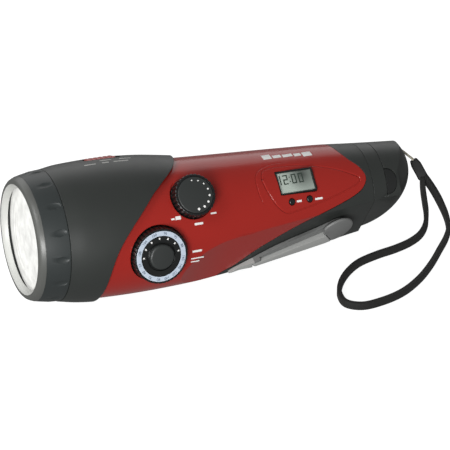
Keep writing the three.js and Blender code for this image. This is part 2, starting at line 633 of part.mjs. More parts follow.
function pushButton() {
  const { r } = BUTTON;
  const flange = [[0, -3.4], [2.8, -3.4], [2.8, -2.7], [r, -2.7]];
  return toSolid(turned([...flange, [r, 0.6], [r - 0.5, 1.1], [0, 1.2]], 16));
}

// ---------- inside ----------
const board = () => solidIn(box(-62, 33, -23, 23, -2.2, -0.7), radialFrame(0, SPLIT, 0))
  .subtract(solidIn(box(-75, -64, -30, 30, -10, 10), radialFrame(0, SPLIT, 0)));
const speakerBody = () => toSolid(turned([[0, -12], [8, -12], [8, -6], [SPEAKER.r, -1.6], [SPEAKER.r, 0],
  [SPEAKER.r - 2, 0], [7, -3.5], [0, -2.6]], 32));

// the ferrite rod lies along the body beside the board, inside its coil
const alongRod = (geometry) => toSolid(geometry.rotateY(Math.PI / 2).translate(-6, 22, 6));
const ferriteRod = () => alongRod(rod(4, -30, 30, 16));
const antennaCoil = () => alongRod(turned([[4.3, -11], [5.4, -11], [5.4, 11], [4.3, 11]], 20));

function cell(row) {
  const skin = turned([[0, 0], [CELL.r, 0], [CELL.r, CELL.length - 1.4], [2.7, CELL.length - 1.4],
    [2.7, CELL.length], [0, CELL.length]], 20);
  return toSolid(skin.rotateY(Math.PI / 2).translate(CELL.x, row * (2 * CELL.r + 0.3), CELL.depth));
}

function batteryHolder() {
  const tray = toSolid(box(-3.4, 53, -22.6, 22.6, 4.1, 5.4));
  const ends = [[-3.4, -1.9], [51.5, 53]].map(([x0, x1]) => toSolid(box(x0, x1, -18, 18, 5, 18.5)));
  return joinAll([tray, ...ends]);
}

const contactStrip = (x) => toSolid(box(x, x + 0.8, -18, 18, 6.4, 18));

// ---------- strap ----------
// routes in the body's table frame: x and y as the body's, z up from the table
const CORD_R = 1.1;
const WEB_R = 2.4;
const WEB_LIE = 2.5;
const CORD_ROUTE = [[125.4, 9.6, 43.4], [127.6, 8.4, 41.6], [130, 6.8, 39.3], [132.2, 5.2, 37.2]];
const SLEEVE_ROUTE = [[132.4, 5.1, 36.9], [134.6, 2.9, 32], [137, -0.4, 26]];
const WEB_ROUTE = [[138.6, -3, 24.6], [141.4, -7.5, 18.8], [143.8, -12.5, 11.8], [144.2, -19.2, 6.2],
  [141.6, -27, 3.4], [135.6, -35.2, WEB_LIE], [126, -45.4, WEB_LIE], [113, -58.6, WEB_LIE],
  [99, -70.2, WEB_LIE], [84, -78.8, WEB_LIE], [69, -82.6, WEB_LIE], [55.4, -82.4, WEB_LIE], [48.2, -76.4, WEB_LIE],
  [48.6, -67, WEB_LIE], [54, -56.6, WEB_LIE], [63, -47, WEB_LIE], [74, -39.8, WEB_LIE], [88, -36, WEB_LIE],
  [102, -34, WEB_LIE], [114, -30.6, WEB_LIE], [123.4, -25.4, WEB_LIE + 0.3], [129.6, -19.6, 4.9],
  [132.8, -13.8, 9.2], [134, -9, 14.4], [134.8, -5, 19.6], [135.4, -2.6, 24]];

function tube(points, r, sides, steps) {
  const path = new THREE.CatmullRomCurve3(points.map((p) => new THREE.Vector3(...p)), false, 'centripetal');
  const ring = new THREE.Shape();
  for (let i = 0; i < sides; i += 1) {
    const a = (2 * Math.PI * i) / sides;
    if (i === 0) ring.moveTo(r, 0);
    else ring.lineTo(r * Math.cos(a), r * Math.sin(a));
  }
  return new THREE.ExtrudeGeometry(ring, { steps, bevelEnabled: false, extrudePath: path });
}

// ---------- assembly ----------
const radio = new THREE.Group();
const body = new THREE.Group();
body.rotation.y = rad(TILT);
body.position.z = AXIS_HEIGHT;
const cords = new THREE.Group();
radio.add(body, cords);

function add(name, solid, material, frame = new THREE.Matrix4(), parent = body) {
  const mesh = new THREE.Mesh(toGeometry(solid), material);
  mesh.name = name;
  mesh.applyMatrix4(frame);
  parent.add(mesh);
}

add('bezel', makeBezel(), GREY);
add('lens', makeLens(), CLEAR);
add('lens_gasket', gasket(), RUBBER);
add('reflector', makeReflector(), MIRROR);
add('led_board', ledBoard(), BOARD);
add('led_1', led(-95.2, 0, 0), CLEAR);
for (let i = 0; i < 4; i += 1) add(`led_${i + 2}`, led(-95.2, 6.6, 45 + 90 * i), CLEAR);

add('head_shell', makeHeadShell(), GREY);
add('front_shell', makeFrontShell(), RED);
add('rear_shell', makeRearShell(), GREY);
add('battery_door', makeBatteryDoor(), GREY);
add('tail_cap', makeTailCap(), GREY);
add('jack_cover', makeJackCover(), RUBBER);
add('jack_socket', jackSocket(), BLACK);
SCREWS.forEach((place, i) => add(`case_screw_${i + 1}`, screw(place), STEEL));

const volumeFrame = knobFrame(VOLUME);
const tuningFrame = knobFrame(TUNING);
add('volume_knob', makeVolumeKnob(), BLACK, volumeFrame);
add('volume_pot', volumePot(), STEEL, volumeFrame);
add('tuning_knob', makeTuningKnob(), BLACK, tuningFrame);
add('tuning_scale', tuningScale(), WHITE, tuningFrame);
add('tuning_capacitor', tuningCapacitor(), BLACK, tuningFrame);

const switchFrame = radialFrame(LAMP_SWITCH.x, LAMP_SWITCH.angle, LAMP_SWITCH.level);
add('lamp_switch_knob', lampSwitchKnob(), RED, switchFrame);
add('lamp_switch_body', lampSwitchBody(), BLACK, switchFrame);

const lcdPlace = radialFrame(LCD.x, LCD.angle, LCD.level);
add('clock_frame', lcdFrame(), BLACK, lcdPlace);
add('clock_pane', lcdPane(), DISPLAY, lcdPlace);
add('clock_module', lcdModule(), BOARD, lcdPlace);
add('set_button', pushButton(), BLACK, buttonFrame(0));
add('mode_button', pushButton(), BLACK, buttonFrame(1));

add('main_board', board(), BOARD);
add('speaker', speakerBody(), BLACK, radialFrame(SPEAKER.x, BACK, SPEAKER.level));
const splitFrame = radialFrame(0, SPLIT, 0);
add('ferrite_rod', ferriteRod(), FERRITE, splitFrame);
add('antenna_coil', antennaCoil(), COPPER, splitFrame);

const batteryFrame = radialFrame(0, BACK, 0);
[-1, 0, 1].forEach((row, i) => add(`cell_${i + 1}`, cell(row), CELL_SKIN, batteryFrame));
add('battery_holder', batteryHolder(), BLACK, batteryFrame);
add('contact_front', contactStrip(-1.4), STEEL, batteryFrame);
add('contact_rear', contactStrip(50.3), STEEL, batteryFrame);

const crankPlace = crankFrame();
const armPlace = armFrame();
const dynamoPlace = crankFrame().multiply(new THREE.Matrix4().setPosition(-GEAR_CENTRES, 0, 0));
add('crank_shaft', makeCrankShaft(), STEEL, armPlace);
add('crank_arm', makeCrankArm(), SILVER, armPlace);
add('crank_grip', makeCrankGrip(), PALE_SILVER, armPlace);
add('grip_pin', gripPin(), STEEL, armPlace);
add('crank_screw', crankScrew(), STEEL, armPlace);
add('drive_gear', driveGear(), BRASS, crankPlace);
add('dynamo_rotor', dynamoRotor(), STEEL, dynamoPlace);
add('dynamo_case', dynamoCan(), STEEL, dynamoPlace);

const level = new THREE.Matrix4();
add('strap_cord', toSolid(tube(CORD_ROUTE, CORD_R, 8, 5)), CORD_CLEAR, level, cords);
add('strap_sleeve', toSolid(tube(SLEEVE_ROUTE, 3.2, 10, 5)), BLACK, level, cords);
add('strap_webbing', toSolid(tube(WEB_ROUTE, WEB_R, 6, 48)), RUBBER, level, cords);

// centre the radio itself over the origin, standing on z = 0
radio.updateMatrixWorld(true);
const extent = new THREE.Box3().setFromObject(body, true);
radio.position.set(-(extent.min.x + extent.max.x) / 2, -(extent.min.y + extent.max.y) / 2, -extent.min.z);

export default radio;
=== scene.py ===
# The looks of a crank-powered emergency radio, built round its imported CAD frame.
# Pieces are made in millimetres in the radio's own frame: +X runs from lens to tail, and a direction
# round the body is an angle, where 0 faces the front and 90 faces up. PLACE takes them to the packed
# model's frame, in metres.
import json
import math

import bmesh
import bpy
import numpy as np
from mathutils import Matrix, Vector


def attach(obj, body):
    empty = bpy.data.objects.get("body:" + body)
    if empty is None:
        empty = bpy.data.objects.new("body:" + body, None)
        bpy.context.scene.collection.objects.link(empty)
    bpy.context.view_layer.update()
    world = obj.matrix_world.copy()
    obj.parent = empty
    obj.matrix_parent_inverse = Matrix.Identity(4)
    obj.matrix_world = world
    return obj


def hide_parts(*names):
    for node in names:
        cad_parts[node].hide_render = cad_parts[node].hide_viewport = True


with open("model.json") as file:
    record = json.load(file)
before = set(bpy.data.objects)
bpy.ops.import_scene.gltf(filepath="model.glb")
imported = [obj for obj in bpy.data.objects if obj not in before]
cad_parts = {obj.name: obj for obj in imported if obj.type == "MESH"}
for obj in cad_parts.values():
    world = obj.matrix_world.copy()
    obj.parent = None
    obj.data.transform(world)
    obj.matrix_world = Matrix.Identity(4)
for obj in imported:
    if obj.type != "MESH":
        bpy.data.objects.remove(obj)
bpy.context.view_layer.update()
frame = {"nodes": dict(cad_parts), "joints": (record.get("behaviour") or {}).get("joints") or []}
nodes = frame["nodes"]
joints = {joint["name"]: joint for joint in frame["joints"]}
bpy.context.scene.view_settings.view_transform = "Standard"

# sizes are in millimetres; PANEL, BULGE, SPLIT and BACK are directions round the body
MM = 0.001
GAP = 0.3
WALL = 2.4
PANEL = 32
BULGE = PANEL - 90
SPLIT = 28
SPLIT_DEPTH = 4.5
BACK = SPLIT - 180
SEAM_BEZEL = -107
SEAM_TAIL = 90
TAIL = {"x": 78.4, "length": 47.6, "r": 33.1, "shift": 8.2, "angle": 128}
SPINDLE_R, SPINDLE_TOP = 3, 5

# sections of the two lofts: (X, radius, centre offset towards BULGE)
HANDLE = [(-100, 39.0, 0.8), (-87, 39.2, 1.2), (-60, 38.5, 2.7), (-25, 37.1, 3.3), (6, 35.2, 3.0),
          (27, 33.6, 2.4), (48, 31.7, 1.6), (69, 29.5, 0.6), (90, 27.0, 0), (112, 25.2, 0), (130, 23.8, 0)]
HEAD = [(-107, 38.6, 0.2), (-98, 40.2, 0.5), (-88, 41.1, 0.9), (-78, 41.4, 1.0), (-64, 41.1, 1.0),
        (-48, 40.2, 1.4), (-34, 38.6, 1.8), (-15, 36.2, 2.5), (0, 34.2, 2.8)]
HANDLE_FROM, HANDLE_TO = -99, 129

# the fittings: how far along the body and in which direction they sit, and their sizes
VOLUME = {"x": -29.5, "angle": 45, "facing": 40, "r": 12.4, "face": 43.2, "height": 10, "hinge": 5}
TUNING = {"x": -54.6, "angle": 2, "facing": 13, "r": 16.4, "face": 44.2, "height": 11}
LCD = {"x": 39.1, "angle": 47.9, "width": 23.8, "height": 14.6, "level": 31.5}
BUTTON = {"angle": 26.9, "r": 1.9, "xs": (33.4, 45.4), "levels": (32.6, 31.5)}
LAMP_SWITCH = {"x": -71, "angle": 113, "length": 23, "width": 10, "level": 40.2}
JACK = {"x": 99.4, "angle": 33, "level": 25.6, "height": 15.6, "depth": 7.4, "bore": 3.2}
CRANK = {"x": 66, "side": 2, "level": 24.2, "slope": 0.115, "angle": PANEL - 60, "swing": 16.2}
# the crank's arm in its own frame: a thin web with a round pad over the shaft and a thicker tip, which
# is paler from POINT on
WEB = {"base": 0.4, "top": 2.2, "pad": 5, "pad_r": 11, "reach": 70, "tip_from": -50, "tip_top": 3.8,
       "fall_from": -54, "fall": 0.17}
WEB_UPPER = [(0, 7), (-8, 6.2), (-30, 5.9), (-40, 5.2), (-48, 3.6), (-56, 1.8), (-63, 0.6), (-69, -1)]
WEB_LOWER = [(-68, -2.4), (-58, -3.5), (-41, -5.4), (-25, -7.4), (-8, -9.2)]
GRIP = {"x0": -55.2, "x1": -6.9, "y": 0.3, "lean": 3.4, "top": 5.4, "fall": 0.035, "base": 0.8}
PIN = {"r": 0.7, "x": -53, "z": 2.3}
POINT = GRIP["x0"] + 1.5
DOOR = {"x0": -5, "x1": 55, "half": 14}
SPEAKER_X, SPEAKER_R, SLOT_PITCH = -33, 15.5, 4.4
BOSS_R = 4.6
SCREWS = [(-11, 158, 31.8), (72, 165, 27.2), (72, -118, 27.6)]
LUG = {"x": 124.2, "angle": 125, "r": 16.6, "high": 6.8, "wide": 6.4, "deep": 6.5, "bar": 1.1}
LENS_X = -118.6
FINE_RINGS = 120
FINE_SEGMENTS = 168
# turns a piece's own z to run along the body
LYING = Matrix.Rotation(math.pi / 2, 4, "Y")


# ---------- frames ----------
def outward(angle):
    return Vector((0, -math.cos(math.radians(angle)), math.sin(math.radians(angle))))


def around(angle):
    return Vector((0, math.sin(math.radians(angle)), math.cos(math.radians(angle))))


def basis(x, y, z, origin):
    columns = [x.to_4d(), y.to_4d(), z.to_4d(), origin.to_4d()]
    for column in columns[:3]:
        column.w = 0
    return Matrix(columns).transposed()


def radial(x, angle, level):
    origin = outward(angle) * level + Vector((x, 0, 0))
    return basis(Vector((1, 0, 0)), around(angle), outward(angle), origin)


def knob_frame(knob):
    """Local z runs out along the knob's shaft, from the floor of its seat."""
    out = outward(knob["facing"])
    origin = outward(knob["angle"]) * knob["face"] - out * knob["height"]
    origin.x = knob["x"]
    return basis(Vector((1, 0, 0)), around(knob["facing"]), out, origin)


def crank_frame(swing=0):
    n = (outward(CRANK["angle"]) + Vector((CRANK["slope"], 0, 0))).normalized()
    y = around(CRANK["angle"])
    origin = outward(CRANK["angle"]) * CRANK["level"] + y * CRANK["side"]
    origin.x = CRANK["x"]
    return basis(y.cross(n), y, n, origin) @ Matrix.Rotation(math.radians(swing), 4, "Z")


def place_of_body():
    """The radio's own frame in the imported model, from the slide's direction and the volume hinge."""
    along = Vector(joints["lamp_slide"]["axis"])
    across = Vector((0, 1, 0))
    turn = basis(along, across, along.cross(across), Vector((0, 0, 0)))
    hinge = knob_frame(VOLUME) @ Vector((0, 0, VOLUME["hinge"]))
    origin = Vector(joints["volume_turn"]["pos_m"]) - turn @ (hinge * MM)
    return Matrix.Translation(origin) @ turn @ Matrix.Scale(MM, 4)


def placed(name, data):
    """A new object in the scene."""
    obj = bpy.data.objects.new(name, data)
    bpy.context.scene.collection.objects.link(obj)
    return obj


PLACE = place_of_body()
ARM = crank_frame(CRANK["swing"])

# ---------- camera ----------
AIM = Vector((0.0076, 0.0102, 0.0194))
AZIMUTH, ELEVATION, DISTANCE = -23.4, 31.36, 1.4415
FOCAL_LENGTH, SENSOR_WIDTH = 192, 36


def make_camera():
    azimuth, elevation = math.radians(AZIMUTH), math.radians(ELEVATION)
    level = math.cos(elevation)
    back = Vector((math.sin(azimuth) * level, -math.cos(azimuth) * level, math.sin(elevation)))
    camera = placed("camera", bpy.data.cameras.new("camera"))
    camera.data.lens = FOCAL_LENGTH
    camera.data.sensor_width = SENSOR_WIDTH
    camera.data.clip_start = 0.05
    camera.location = AIM + back * DISTANCE
    camera.rotation_euler = (-back).to_track_quat("-Z", "Y").to_euler()
    bpy.context.scene.camera = camera


make_camera()


# ---------- materials ----------
# the colour sockets of the mix node, which share their names with its other sockets
MIX_FACTOR, MIX_A, MIX_B, MIX_COLOR = 0, 6, 7, 2


class Shader:
    """A principled material and the few node chains that the finishes share."""

    def __init__(self, name, color, roughness, **settings):
        self.material = bpy.data.materials.new(name)
        self.material.use_nodes = True
        self.tree = self.material.node_tree
        self.shader = self.tree.nodes["Principled BSDF"]
        self.color = color
        self.shader.inputs["Base Color"].default_value = (*color, 1)
        self.shader.inputs["Roughness"].default_value = roughness
        for key, value in settings.items():
            self.shader.inputs[key.replace("_", " ")].default_value = value
        self.place = self.tree.nodes.new("ShaderNodeTexCoord").outputs["Object"]
        self.normal = None

    def link(self, a, b):
        self.tree.links.new(a, b)

    def noise(self, scale, detail=2.0, stretch=None):
        node = self.tree.nodes.new("ShaderNodeTexNoise")
        node.inputs["Scale"].default_value = scale
        node.inputs["Detail"].default_value = detail
        source = self.place
        if stretch:
            mapping = self.tree.nodes.new("ShaderNodeMapping")
            mapping.inputs["Scale"].default_value = stretch
            self.link(source, mapping.inputs["Vector"])
            source = mapping.outputs["Vector"]
        self.link(source, node.inputs["Vector"])
        return node.outputs["Fac"]

    def ranged(self, value, low, high):
        node = self.tree.nodes.new("ShaderNodeMapRange")
        node.inputs["To Min"].default_value = low
        node.inputs["To Max"].default_value = high
        self.link(value, node.inputs["Value"])
        return node.outputs["Result"]

    def tint(self, value, low, high):
        """Colour between low and high times the base colour, by value."""
        node = self.tree.nodes.new("ShaderNodeMix")
        node.data_type = "RGBA"
        node.inputs[MIX_A].default_value = (*[c * low for c in self.color], 1)
        node.inputs[MIX_B].default_value = (*[min(c * high, 1) for c in self.color], 1)
        self.link(value, node.inputs[MIX_FACTOR])
        self.link(node.outputs[MIX_COLOR], self.shader.inputs["Base Color"])

    def rough(self, value, low, high):
        self.link(self.ranged(value, low, high), self.shader.inputs["Roughness"])

    def soft_edges(self, radius):
        node = self.tree.nodes.new("ShaderNodeBevel")
        node.samples = 4
        node.inputs["Radius"].default_value = radius
        self.normal = node.outputs["Normal"]
        self.link(self.normal, self.shader.inputs["Normal"])

    def bump(self, value, height, strength=1.0):
        node = self.tree.nodes.new("ShaderNodeBump")
        node.inputs["Distance"].default_value = height
        node.inputs["Strength"].default_value = strength
        self.link(value, node.inputs["Height"])
        if self.normal:
            self.link(self.normal, node.inputs["Normal"])
        self.normal = node.outputs["Normal"]
        self.link(self.normal, self.shader.inputs["Normal"])


def moulded(name, color, roughness, grain=0.00002, edges=0.0004, **settings):
    """Moulded plastic or rubber: fine spark-eroded grain, uneven sheen and rounded edges."""
    look = Shader(name, color, roughness, **settings)
    if edges:
        look.soft_edges(edges)
    look.tint(look.noise(28, 3), 0.92, 1.08)
    look.rough(look.noise(90, 3), roughness - 0.05, roughness + 0.06)
    look.bump(look.noise(2600, 2), grain, 0.6)
    return look.material


def metal(name, color, roughness, stretch=(1, 1, 1)):
    look = Shader(name, color, roughness, Metallic=1.0)
    look.soft_edges(0.0002)
    look.rough(look.noise(900, 3, stretch), roughness - 0.08, roughness + 0.1)
    look.bump(look.noise(1500, 2, stretch), 0.00001, 0.4)
    return look.material


def glossy_red():
    look = Shader("red_plastic", (0.31, 0.018, 0.013), 0.24, Specular_IOR_Level=0.28,
                  Coat_Weight=0.12, Coat_Roughness=0.1)
    look.soft_edges(0.0005)
    look.tint(look.noise(16, 3), 0.95, 1.05)
    look.rough(look.noise(60, 4), 0.2, 0.28)
    look.bump(look.noise(240, 2), 0.00001, 0.4)
    return look.material


def lit_lens():
    """Clear cover in front of a lit lamp, with faint facets pressed into it."""
    look = Shader("lit_lens", (0.5, 0.51, 0.49), 0.2, Emission_Strength=0.5, Coat_Weight=0.3)
    look.shader.inputs["Emission Color"].default_value = (1.0, 0.99, 0.96, 1)
    cells = look.tree.nodes.new("ShaderNodeTexVoronoi")
    cells.feature = "DISTANCE_TO_EDGE"
    cells.inputs["Scale"].default_value = 130
    look.link(look.place, cells.inputs["Vector"])
    # painted light and shade: the mottled tint stands for the unevenly lit reflector and LEDs seen through
    # the cover
    look.tint(look.noise(150, 3), 0.2, 1.6)
    look.bump(cells.outputs["Distance"], 0.0004, 0.35)
    return look.material


def webbing_weave():
    look = Shader("webbing", (0.0035, 0.0035, 0.003), 0.8, Sheen_Weight=0.04, Sheen_Roughness=0.5)
    wave = look.tree.nodes.new("ShaderNodeTexWave")
    wave.inputs["Scale"].default_value = 420
    wave.inputs["Distortion"].default_value = 1.5
    look.link(look.place, wave.inputs["Vector"])
    look.tint(look.noise(700, 2), 0.6, 1.9)
    look.bump(wave.outputs["Fac"], 0.00015, 0.8)
    return look.material


def display_glass(painted_reflection_at):
    """Liquid crystal behind a window: grey-green, with a painted dark reflection round one corner."""
    look = Shader("display", (0.33, 0.38, 0.34), 0.2, Coat_Weight=0.8)
    reach = 0.011
    mapping = look.tree.nodes.new("ShaderNodeMapping")
    mapping.inputs["Location"].default_value = -painted_reflection_at / reach
    mapping.inputs["Scale"].default_value = (1 / reach, 1 / reach, 1 / reach)
    look.link(look.place, mapping.inputs["Vector"])
    # painted reflection: the colour darkens towards one corner of the pane, where a reflection darkens the
    # real display
    corner = look.tree.nodes.new("ShaderNodeTexGradient")
    corner.gradient_type = "SPHERICAL"
    look.link(mapping.outputs["Vector"], corner.inputs["Vector"])
    look.tint(corner.outputs["Fac"], 1.1, 0.15)
    look.rough(look.noise(400, 2), 0.16, 0.24)
    look.bump(look.noise(900, 2), 0.00001, 0.3)
    return look.material


DARK = moulded("dark_plastic", (0.024, 0.027, 0.025), 0.5)
DARK_SMOOTH = moulded("dark_smooth_plastic", (0.024, 0.027, 0.025), 0.46, 0.00001)
BEZEL = moulded("bezel_plastic", (0.024, 0.029, 0.029), 0.46, 0.00001)
# painted light: the lip is the bezel's dark plastic, made about three times lighter to stand for light
# falling on the rim
PAINTED_LIT_LIP = moulded("bezel_lip_painted_light", (0.085, 0.088, 0.082), 0.36, 0.00001)
# painted light: the inner rim faces the lit lens, and its pale colour stands for lamplight on the bezel's
# dark plastic
LAMP_LIT_RIM = moulded("inner_rim_painted_lamplight", (0.5, 0.505, 0.48), 0.4, 0.00001)
RED = glossy_red()
BLACK = moulded("black_plastic", (0.008, 0.009, 0.009), 0.3, 0.00001, 0.0003)
KNOB_FACE = moulded("knob_face_plastic", (0.024, 0.027, 0.026), 0.42)
SWITCH_RED = moulded("switch_red_plastic", (0.5, 0.16, 0.15), 0.26, 0.00001, 0.0003)
CRANK_GREY = moulded("crank_grey_plastic", (0.16, 0.163, 0.16), 0.45)
GRIP_GREY = moulded("grip_grey_plastic", (0.34, 0.345, 0.335), 0.45)
PRINT_WHITE = moulded("white_print", (0.78, 0.78, 0.76), 0.5, 0.000005, 0)
PRINT_GREY = moulded("grey_print", (0.42, 0.42, 0.4), 0.5, 0.000005, 0)
PRINT_DARK = moulded("dark_print", (0.06, 0.09, 0.14), 0.5, 0.000005, 0)
DIAL_RING = moulded("dial_ring", (0.47, 0.54, 0.63), 0.4, 0.000008, 0.0002)
RUBBER = moulded("soft_rubber", (0.008, 0.009, 0.0085), 0.6)
INNER = moulded("inner_plastic", (0.02, 0.02, 0.02), 0.5)
BOARD = moulded("board_lacquer", (0.02, 0.14, 0.06), 0.4)
CELL_SKIN = moulded("cell_skin", (0.05, 0.14, 0.32), 0.3)
FERRITE = moulded("ferrite_grain", (0.04, 0.036, 0.036), 0.6)
STEEL = metal("plain_steel", (0.56, 0.56, 0.55), 0.3)
BRASS = metal("cut_brass", (0.62, 0.47, 0.2), 0.3)
COPPER = metal("wound_copper", (0.6, 0.26, 0.12), 0.35, (1, 60, 60))
MIRROR = metal("reflector_coat", (0.86, 0.87, 0.88), 0.12)
LENS = lit_lens()
WEBBING = webbing_weave()
SLEEVE = moulded("sleeve_fabric", (0.005, 0.005, 0.005), 0.7, 0.0001)
SEGMENT = moulded("display_segment", (0.03, 0.045, 0.035), 0.3, 0.000005, 0)
CLEAR_CORD = moulded("clear_cord", (0.62, 0.58, 0.47), 0.25, 0.00001, 0)


# ---------- meshes ----------
def made(points, faces, name="work"):
    mesh = bpy.data.meshes.new(name)
    mesh.from_pydata([tuple(p) for p in points], [], faces)
    return placed(name, mesh)


def faced_out(obj):
    work = bmesh.new()
    work.from_mesh(obj.data)
    bmesh.ops.recalc_face_normals(work, faces=work.faces)
    work.to_mesh(obj.data)
    work.free()
    return obj


def moved(obj, matrix):
    obj.data.transform(matrix)
    if matrix.determinant() < 0:
        obj.data.flip_normals()
    return obj


def evaluated_mesh(obj):
    graph = bpy.context.evaluated_depsgraph_get()
    return bpy.data.meshes.new_from_object(obj.evaluated_get(graph))


def applied(obj):
    """The object with its modifiers taken into its mesh."""
    result = evaluated_mesh(obj)
    obj.modifiers.clear()
    obj.data = result
    return obj


def boolean(base, tools, operation):
    for tool in tools:
        step = base.modifiers.new("step", "BOOLEAN")
        step.operation = operation
        step.solver = "MANIFOLD"
        step.object = tool
    applied(base)
    for tool in tools:
        bpy.data.objects.remove(tool)
    return base


def cut(base, *tools):
    return boolean(base, tools, "DIFFERENCE")


def keep(base, *tools):
    return boolean(base, tools, "INTERSECT")


def join(base, *tools):
    return boolean(base, tools, "UNION")


def grid_faces(rows, columns, closed=True):
    faces = []
    for i in range(rows - 1):
        for j in range(columns if closed else columns - 1):
            k = (j + 1) % columns
            faces.append((i * columns + j, (i + 1) * columns + j, (i + 1) * columns + k, i * columns + k))
    return faces


def tube_of_rings(rings, name="work"):
    """A closed body from equal rings of points, capped at both ends."""
    columns = len(rings[0])
    points = [p for ring in rings for p in ring]
    faces = grid_faces(len(rings), columns)
    last = (len(rings) - 1) * columns
    faces += [tuple(range(columns)), tuple(last + j for j in range(columns))[::-1]]
    return faced_out(made(points, faces, name))


def hermite(start, end, leaving, arriving, t):
    """The cubic curve between two points that has a given slope at each."""
    square = (3 * (end - start) - 2 * leaving - arriving) * t**2
    cube = (2 * (start - end) + leaving + arriving) * t**3
    return start + leaving * t + square + cube


def centripetal(points, steps):
    """The smooth curve through points, sampled evenly between each pair."""
    points = [np.array(p, float) for p in points]
    points = [2 * points[0] - points[1], *points, 2 * points[-1] - points[-2]]
    out = []
    for i in range(1, len(points) - 2):
        p0, p1, p2, p3 = points[i - 1:i + 3]
        d0, d1, d2 = [math.sqrt(np.linalg.norm(b - a)) for a, b in ((p0, p1), (p1, p2), (p2, p3))]
        t1 = ((p1 - p0) / d0 - (p2 - p0) / (d0 + d1) + (p2 - p1) / d1) * d1
        t2 = ((p2 - p1) / d1 - (p3 - p1) / (d1 + d2) + (p3 - p2) / d2) * d1
        out += [hermite(p1, p2, t1, t2, k / steps) for k in range(steps)]
    return out + [points[-2]]


def loft(sections, grow, x0, x1, rings=FINE_RINGS, segments=FINE_SEGMENTS):
    curve = np.array(centripetal(sections, 40))
    offset_way = outward(BULGE)
    spokes = [outward(360 * j / segments) for j in range(segments)]
    rows = []
    for x in np.linspace(x0, x1, rings):
        radius = np.interp(x, curve[:, 0], curve[:, 1]) + grow
        centre = offset_way * float(np.interp(x, curve[:, 0], curve[:, 2])) + Vector((x, 0, 0))
        rows.append([centre + spoke * radius for spoke in spokes])
    return tube_of_rings(rows)


def turned(profile, segments=96, matrix=Matrix()):
    """A closed profile of (r, z) turned about local z. Points on the axis are joined to one."""
    points, rows = [], []
    for r, z in profile:
        if r == 0:
            rows.append([len(points)] * segments)
            points.append((0, 0, z))
            continue
        rows.append(list(range(len(points), len(points) + segments)))
        turns = [2 * math.pi * j / segments for j in range(segments)]
        points += [(r * math.cos(a), r * math.sin(a), z) for a in turns]
    pairs = list(zip(rows, rows[1:]))
    if profile[0][0] > 0:
        pairs.append((rows[-1], rows[0]))
    faces = []
    for low, high in pairs:
        for j in range(segments):
            k = (j + 1) % segments
            corners = [low[j], low[k], high[k], high[j]]
            face = [c for n, c in enumerate(corners) if c not in corners[:n]]
            if len(face) > 2:
                faces.append(face)
    return moved(faced_out(made(points, faces)), matrix)


def rod(r, z0, z1, segments=48, matrix=Matrix()):
    return turned([(0, z0), (r, z0), (r, z1), (0, z1)], segments, matrix)


def rounded_rod(r, z0, z1, edge, segments=48, matrix=Matrix()):
    """A rod whose top edge is rounded."""
    crown = [(r - edge + edge * math.sin(a), z1 - edge + edge * math.cos(a))
             for a in np.linspace(math.pi / 2, 0, 6)]
    return turned([(0, z0), (r, z0), *crown, (0, z1)], segments, matrix)


def prism(outline, z0, z1, matrix=Matrix()):
    low = [(x, y, z0) for x, y in outline]
    high = [(x, y, z1) for x, y in outline]
    return moved(tube_of_rings([low, high]), matrix)


def block(x0, x1, y0, y1, z0, z1, matrix=Matrix()):
    return prism([(x0, y0), (x1, y0), (x1, y1), (x0, y1)], z0, z1, matrix)


def rounded_outline(x0, x1, y0, y1, r, steps=5):
    corners = [(x1 - r, y1 - r, 0), (x0 + r, y1 - r, 90), (x0 + r, y0 + r, 180), (x1 - r, y0 + r, 270)]
    points = []
    for cx, cy, start in corners:
        for k in range(steps + 1):
            a = math.radians(start + 90 * k / steps)
            points.append((cx + r * math.cos(a), cy + r * math.sin(a)))
    return points


def ball(scale, matrix=Matrix(), segments=48, rings=24):
    profile = [(math.sin(a), -math.cos(a)) for a in np.linspace(0, math.pi, rings)]
    profile[0], profile[-1] = (0, -1), (0, 1)
    return turned(profile, segments, matrix @ Matrix.Diagonal((*scale, 1)))


def bevelled(obj, width, segments=3, angle=35):
    step = obj.modifiers.new("edges", "BEVEL")
    step.width = width
    step.segments = segments
    step.limit_method = "ANGLE"
    step.angle_limit = math.radians(angle)
    return applied(obj)


def direction(points, i):
    """The way a line of points runs at one of them."""
    return (points[min(i + 1, len(points) - 1)] - points[max(i - 1, 0)]).normalized()


def swept(points, radii, sides=12):
    """A round tube along points, whose radius changes along it."""
    points = [Vector(p) for p in points]
    rows = []
    side = None
    for i, p in enumerate(points):
        along = direction(points, i)
        side = along.orthogonal() if side is None else side - along * side.dot(along)
        side.normalize()
        up = along.cross(side)
        turns = [2 * math.pi * k / sides for k in range(sides)]
        rows.append([p + (side * math.cos(a) + up * math.sin(a)) * radii[i] for a in turns])
    return tube_of_rings(rows)


def show(obj, name, material, body="case", replaces=(), matrix=PLACE, smooth=32):
    """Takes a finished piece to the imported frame, shades it and puts it on its body."""
    moved(obj, matrix)
    obj.name = obj.data.name = name
    obj.data.materials.clear()
    obj.data.materials.append(material)
    obj.data.shade_smooth()
    obj.data.set_sharp_from_angle(angle=math.radians(smooth))
    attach(obj, body)
    if replaces:
        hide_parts(*replaces)
    return obj


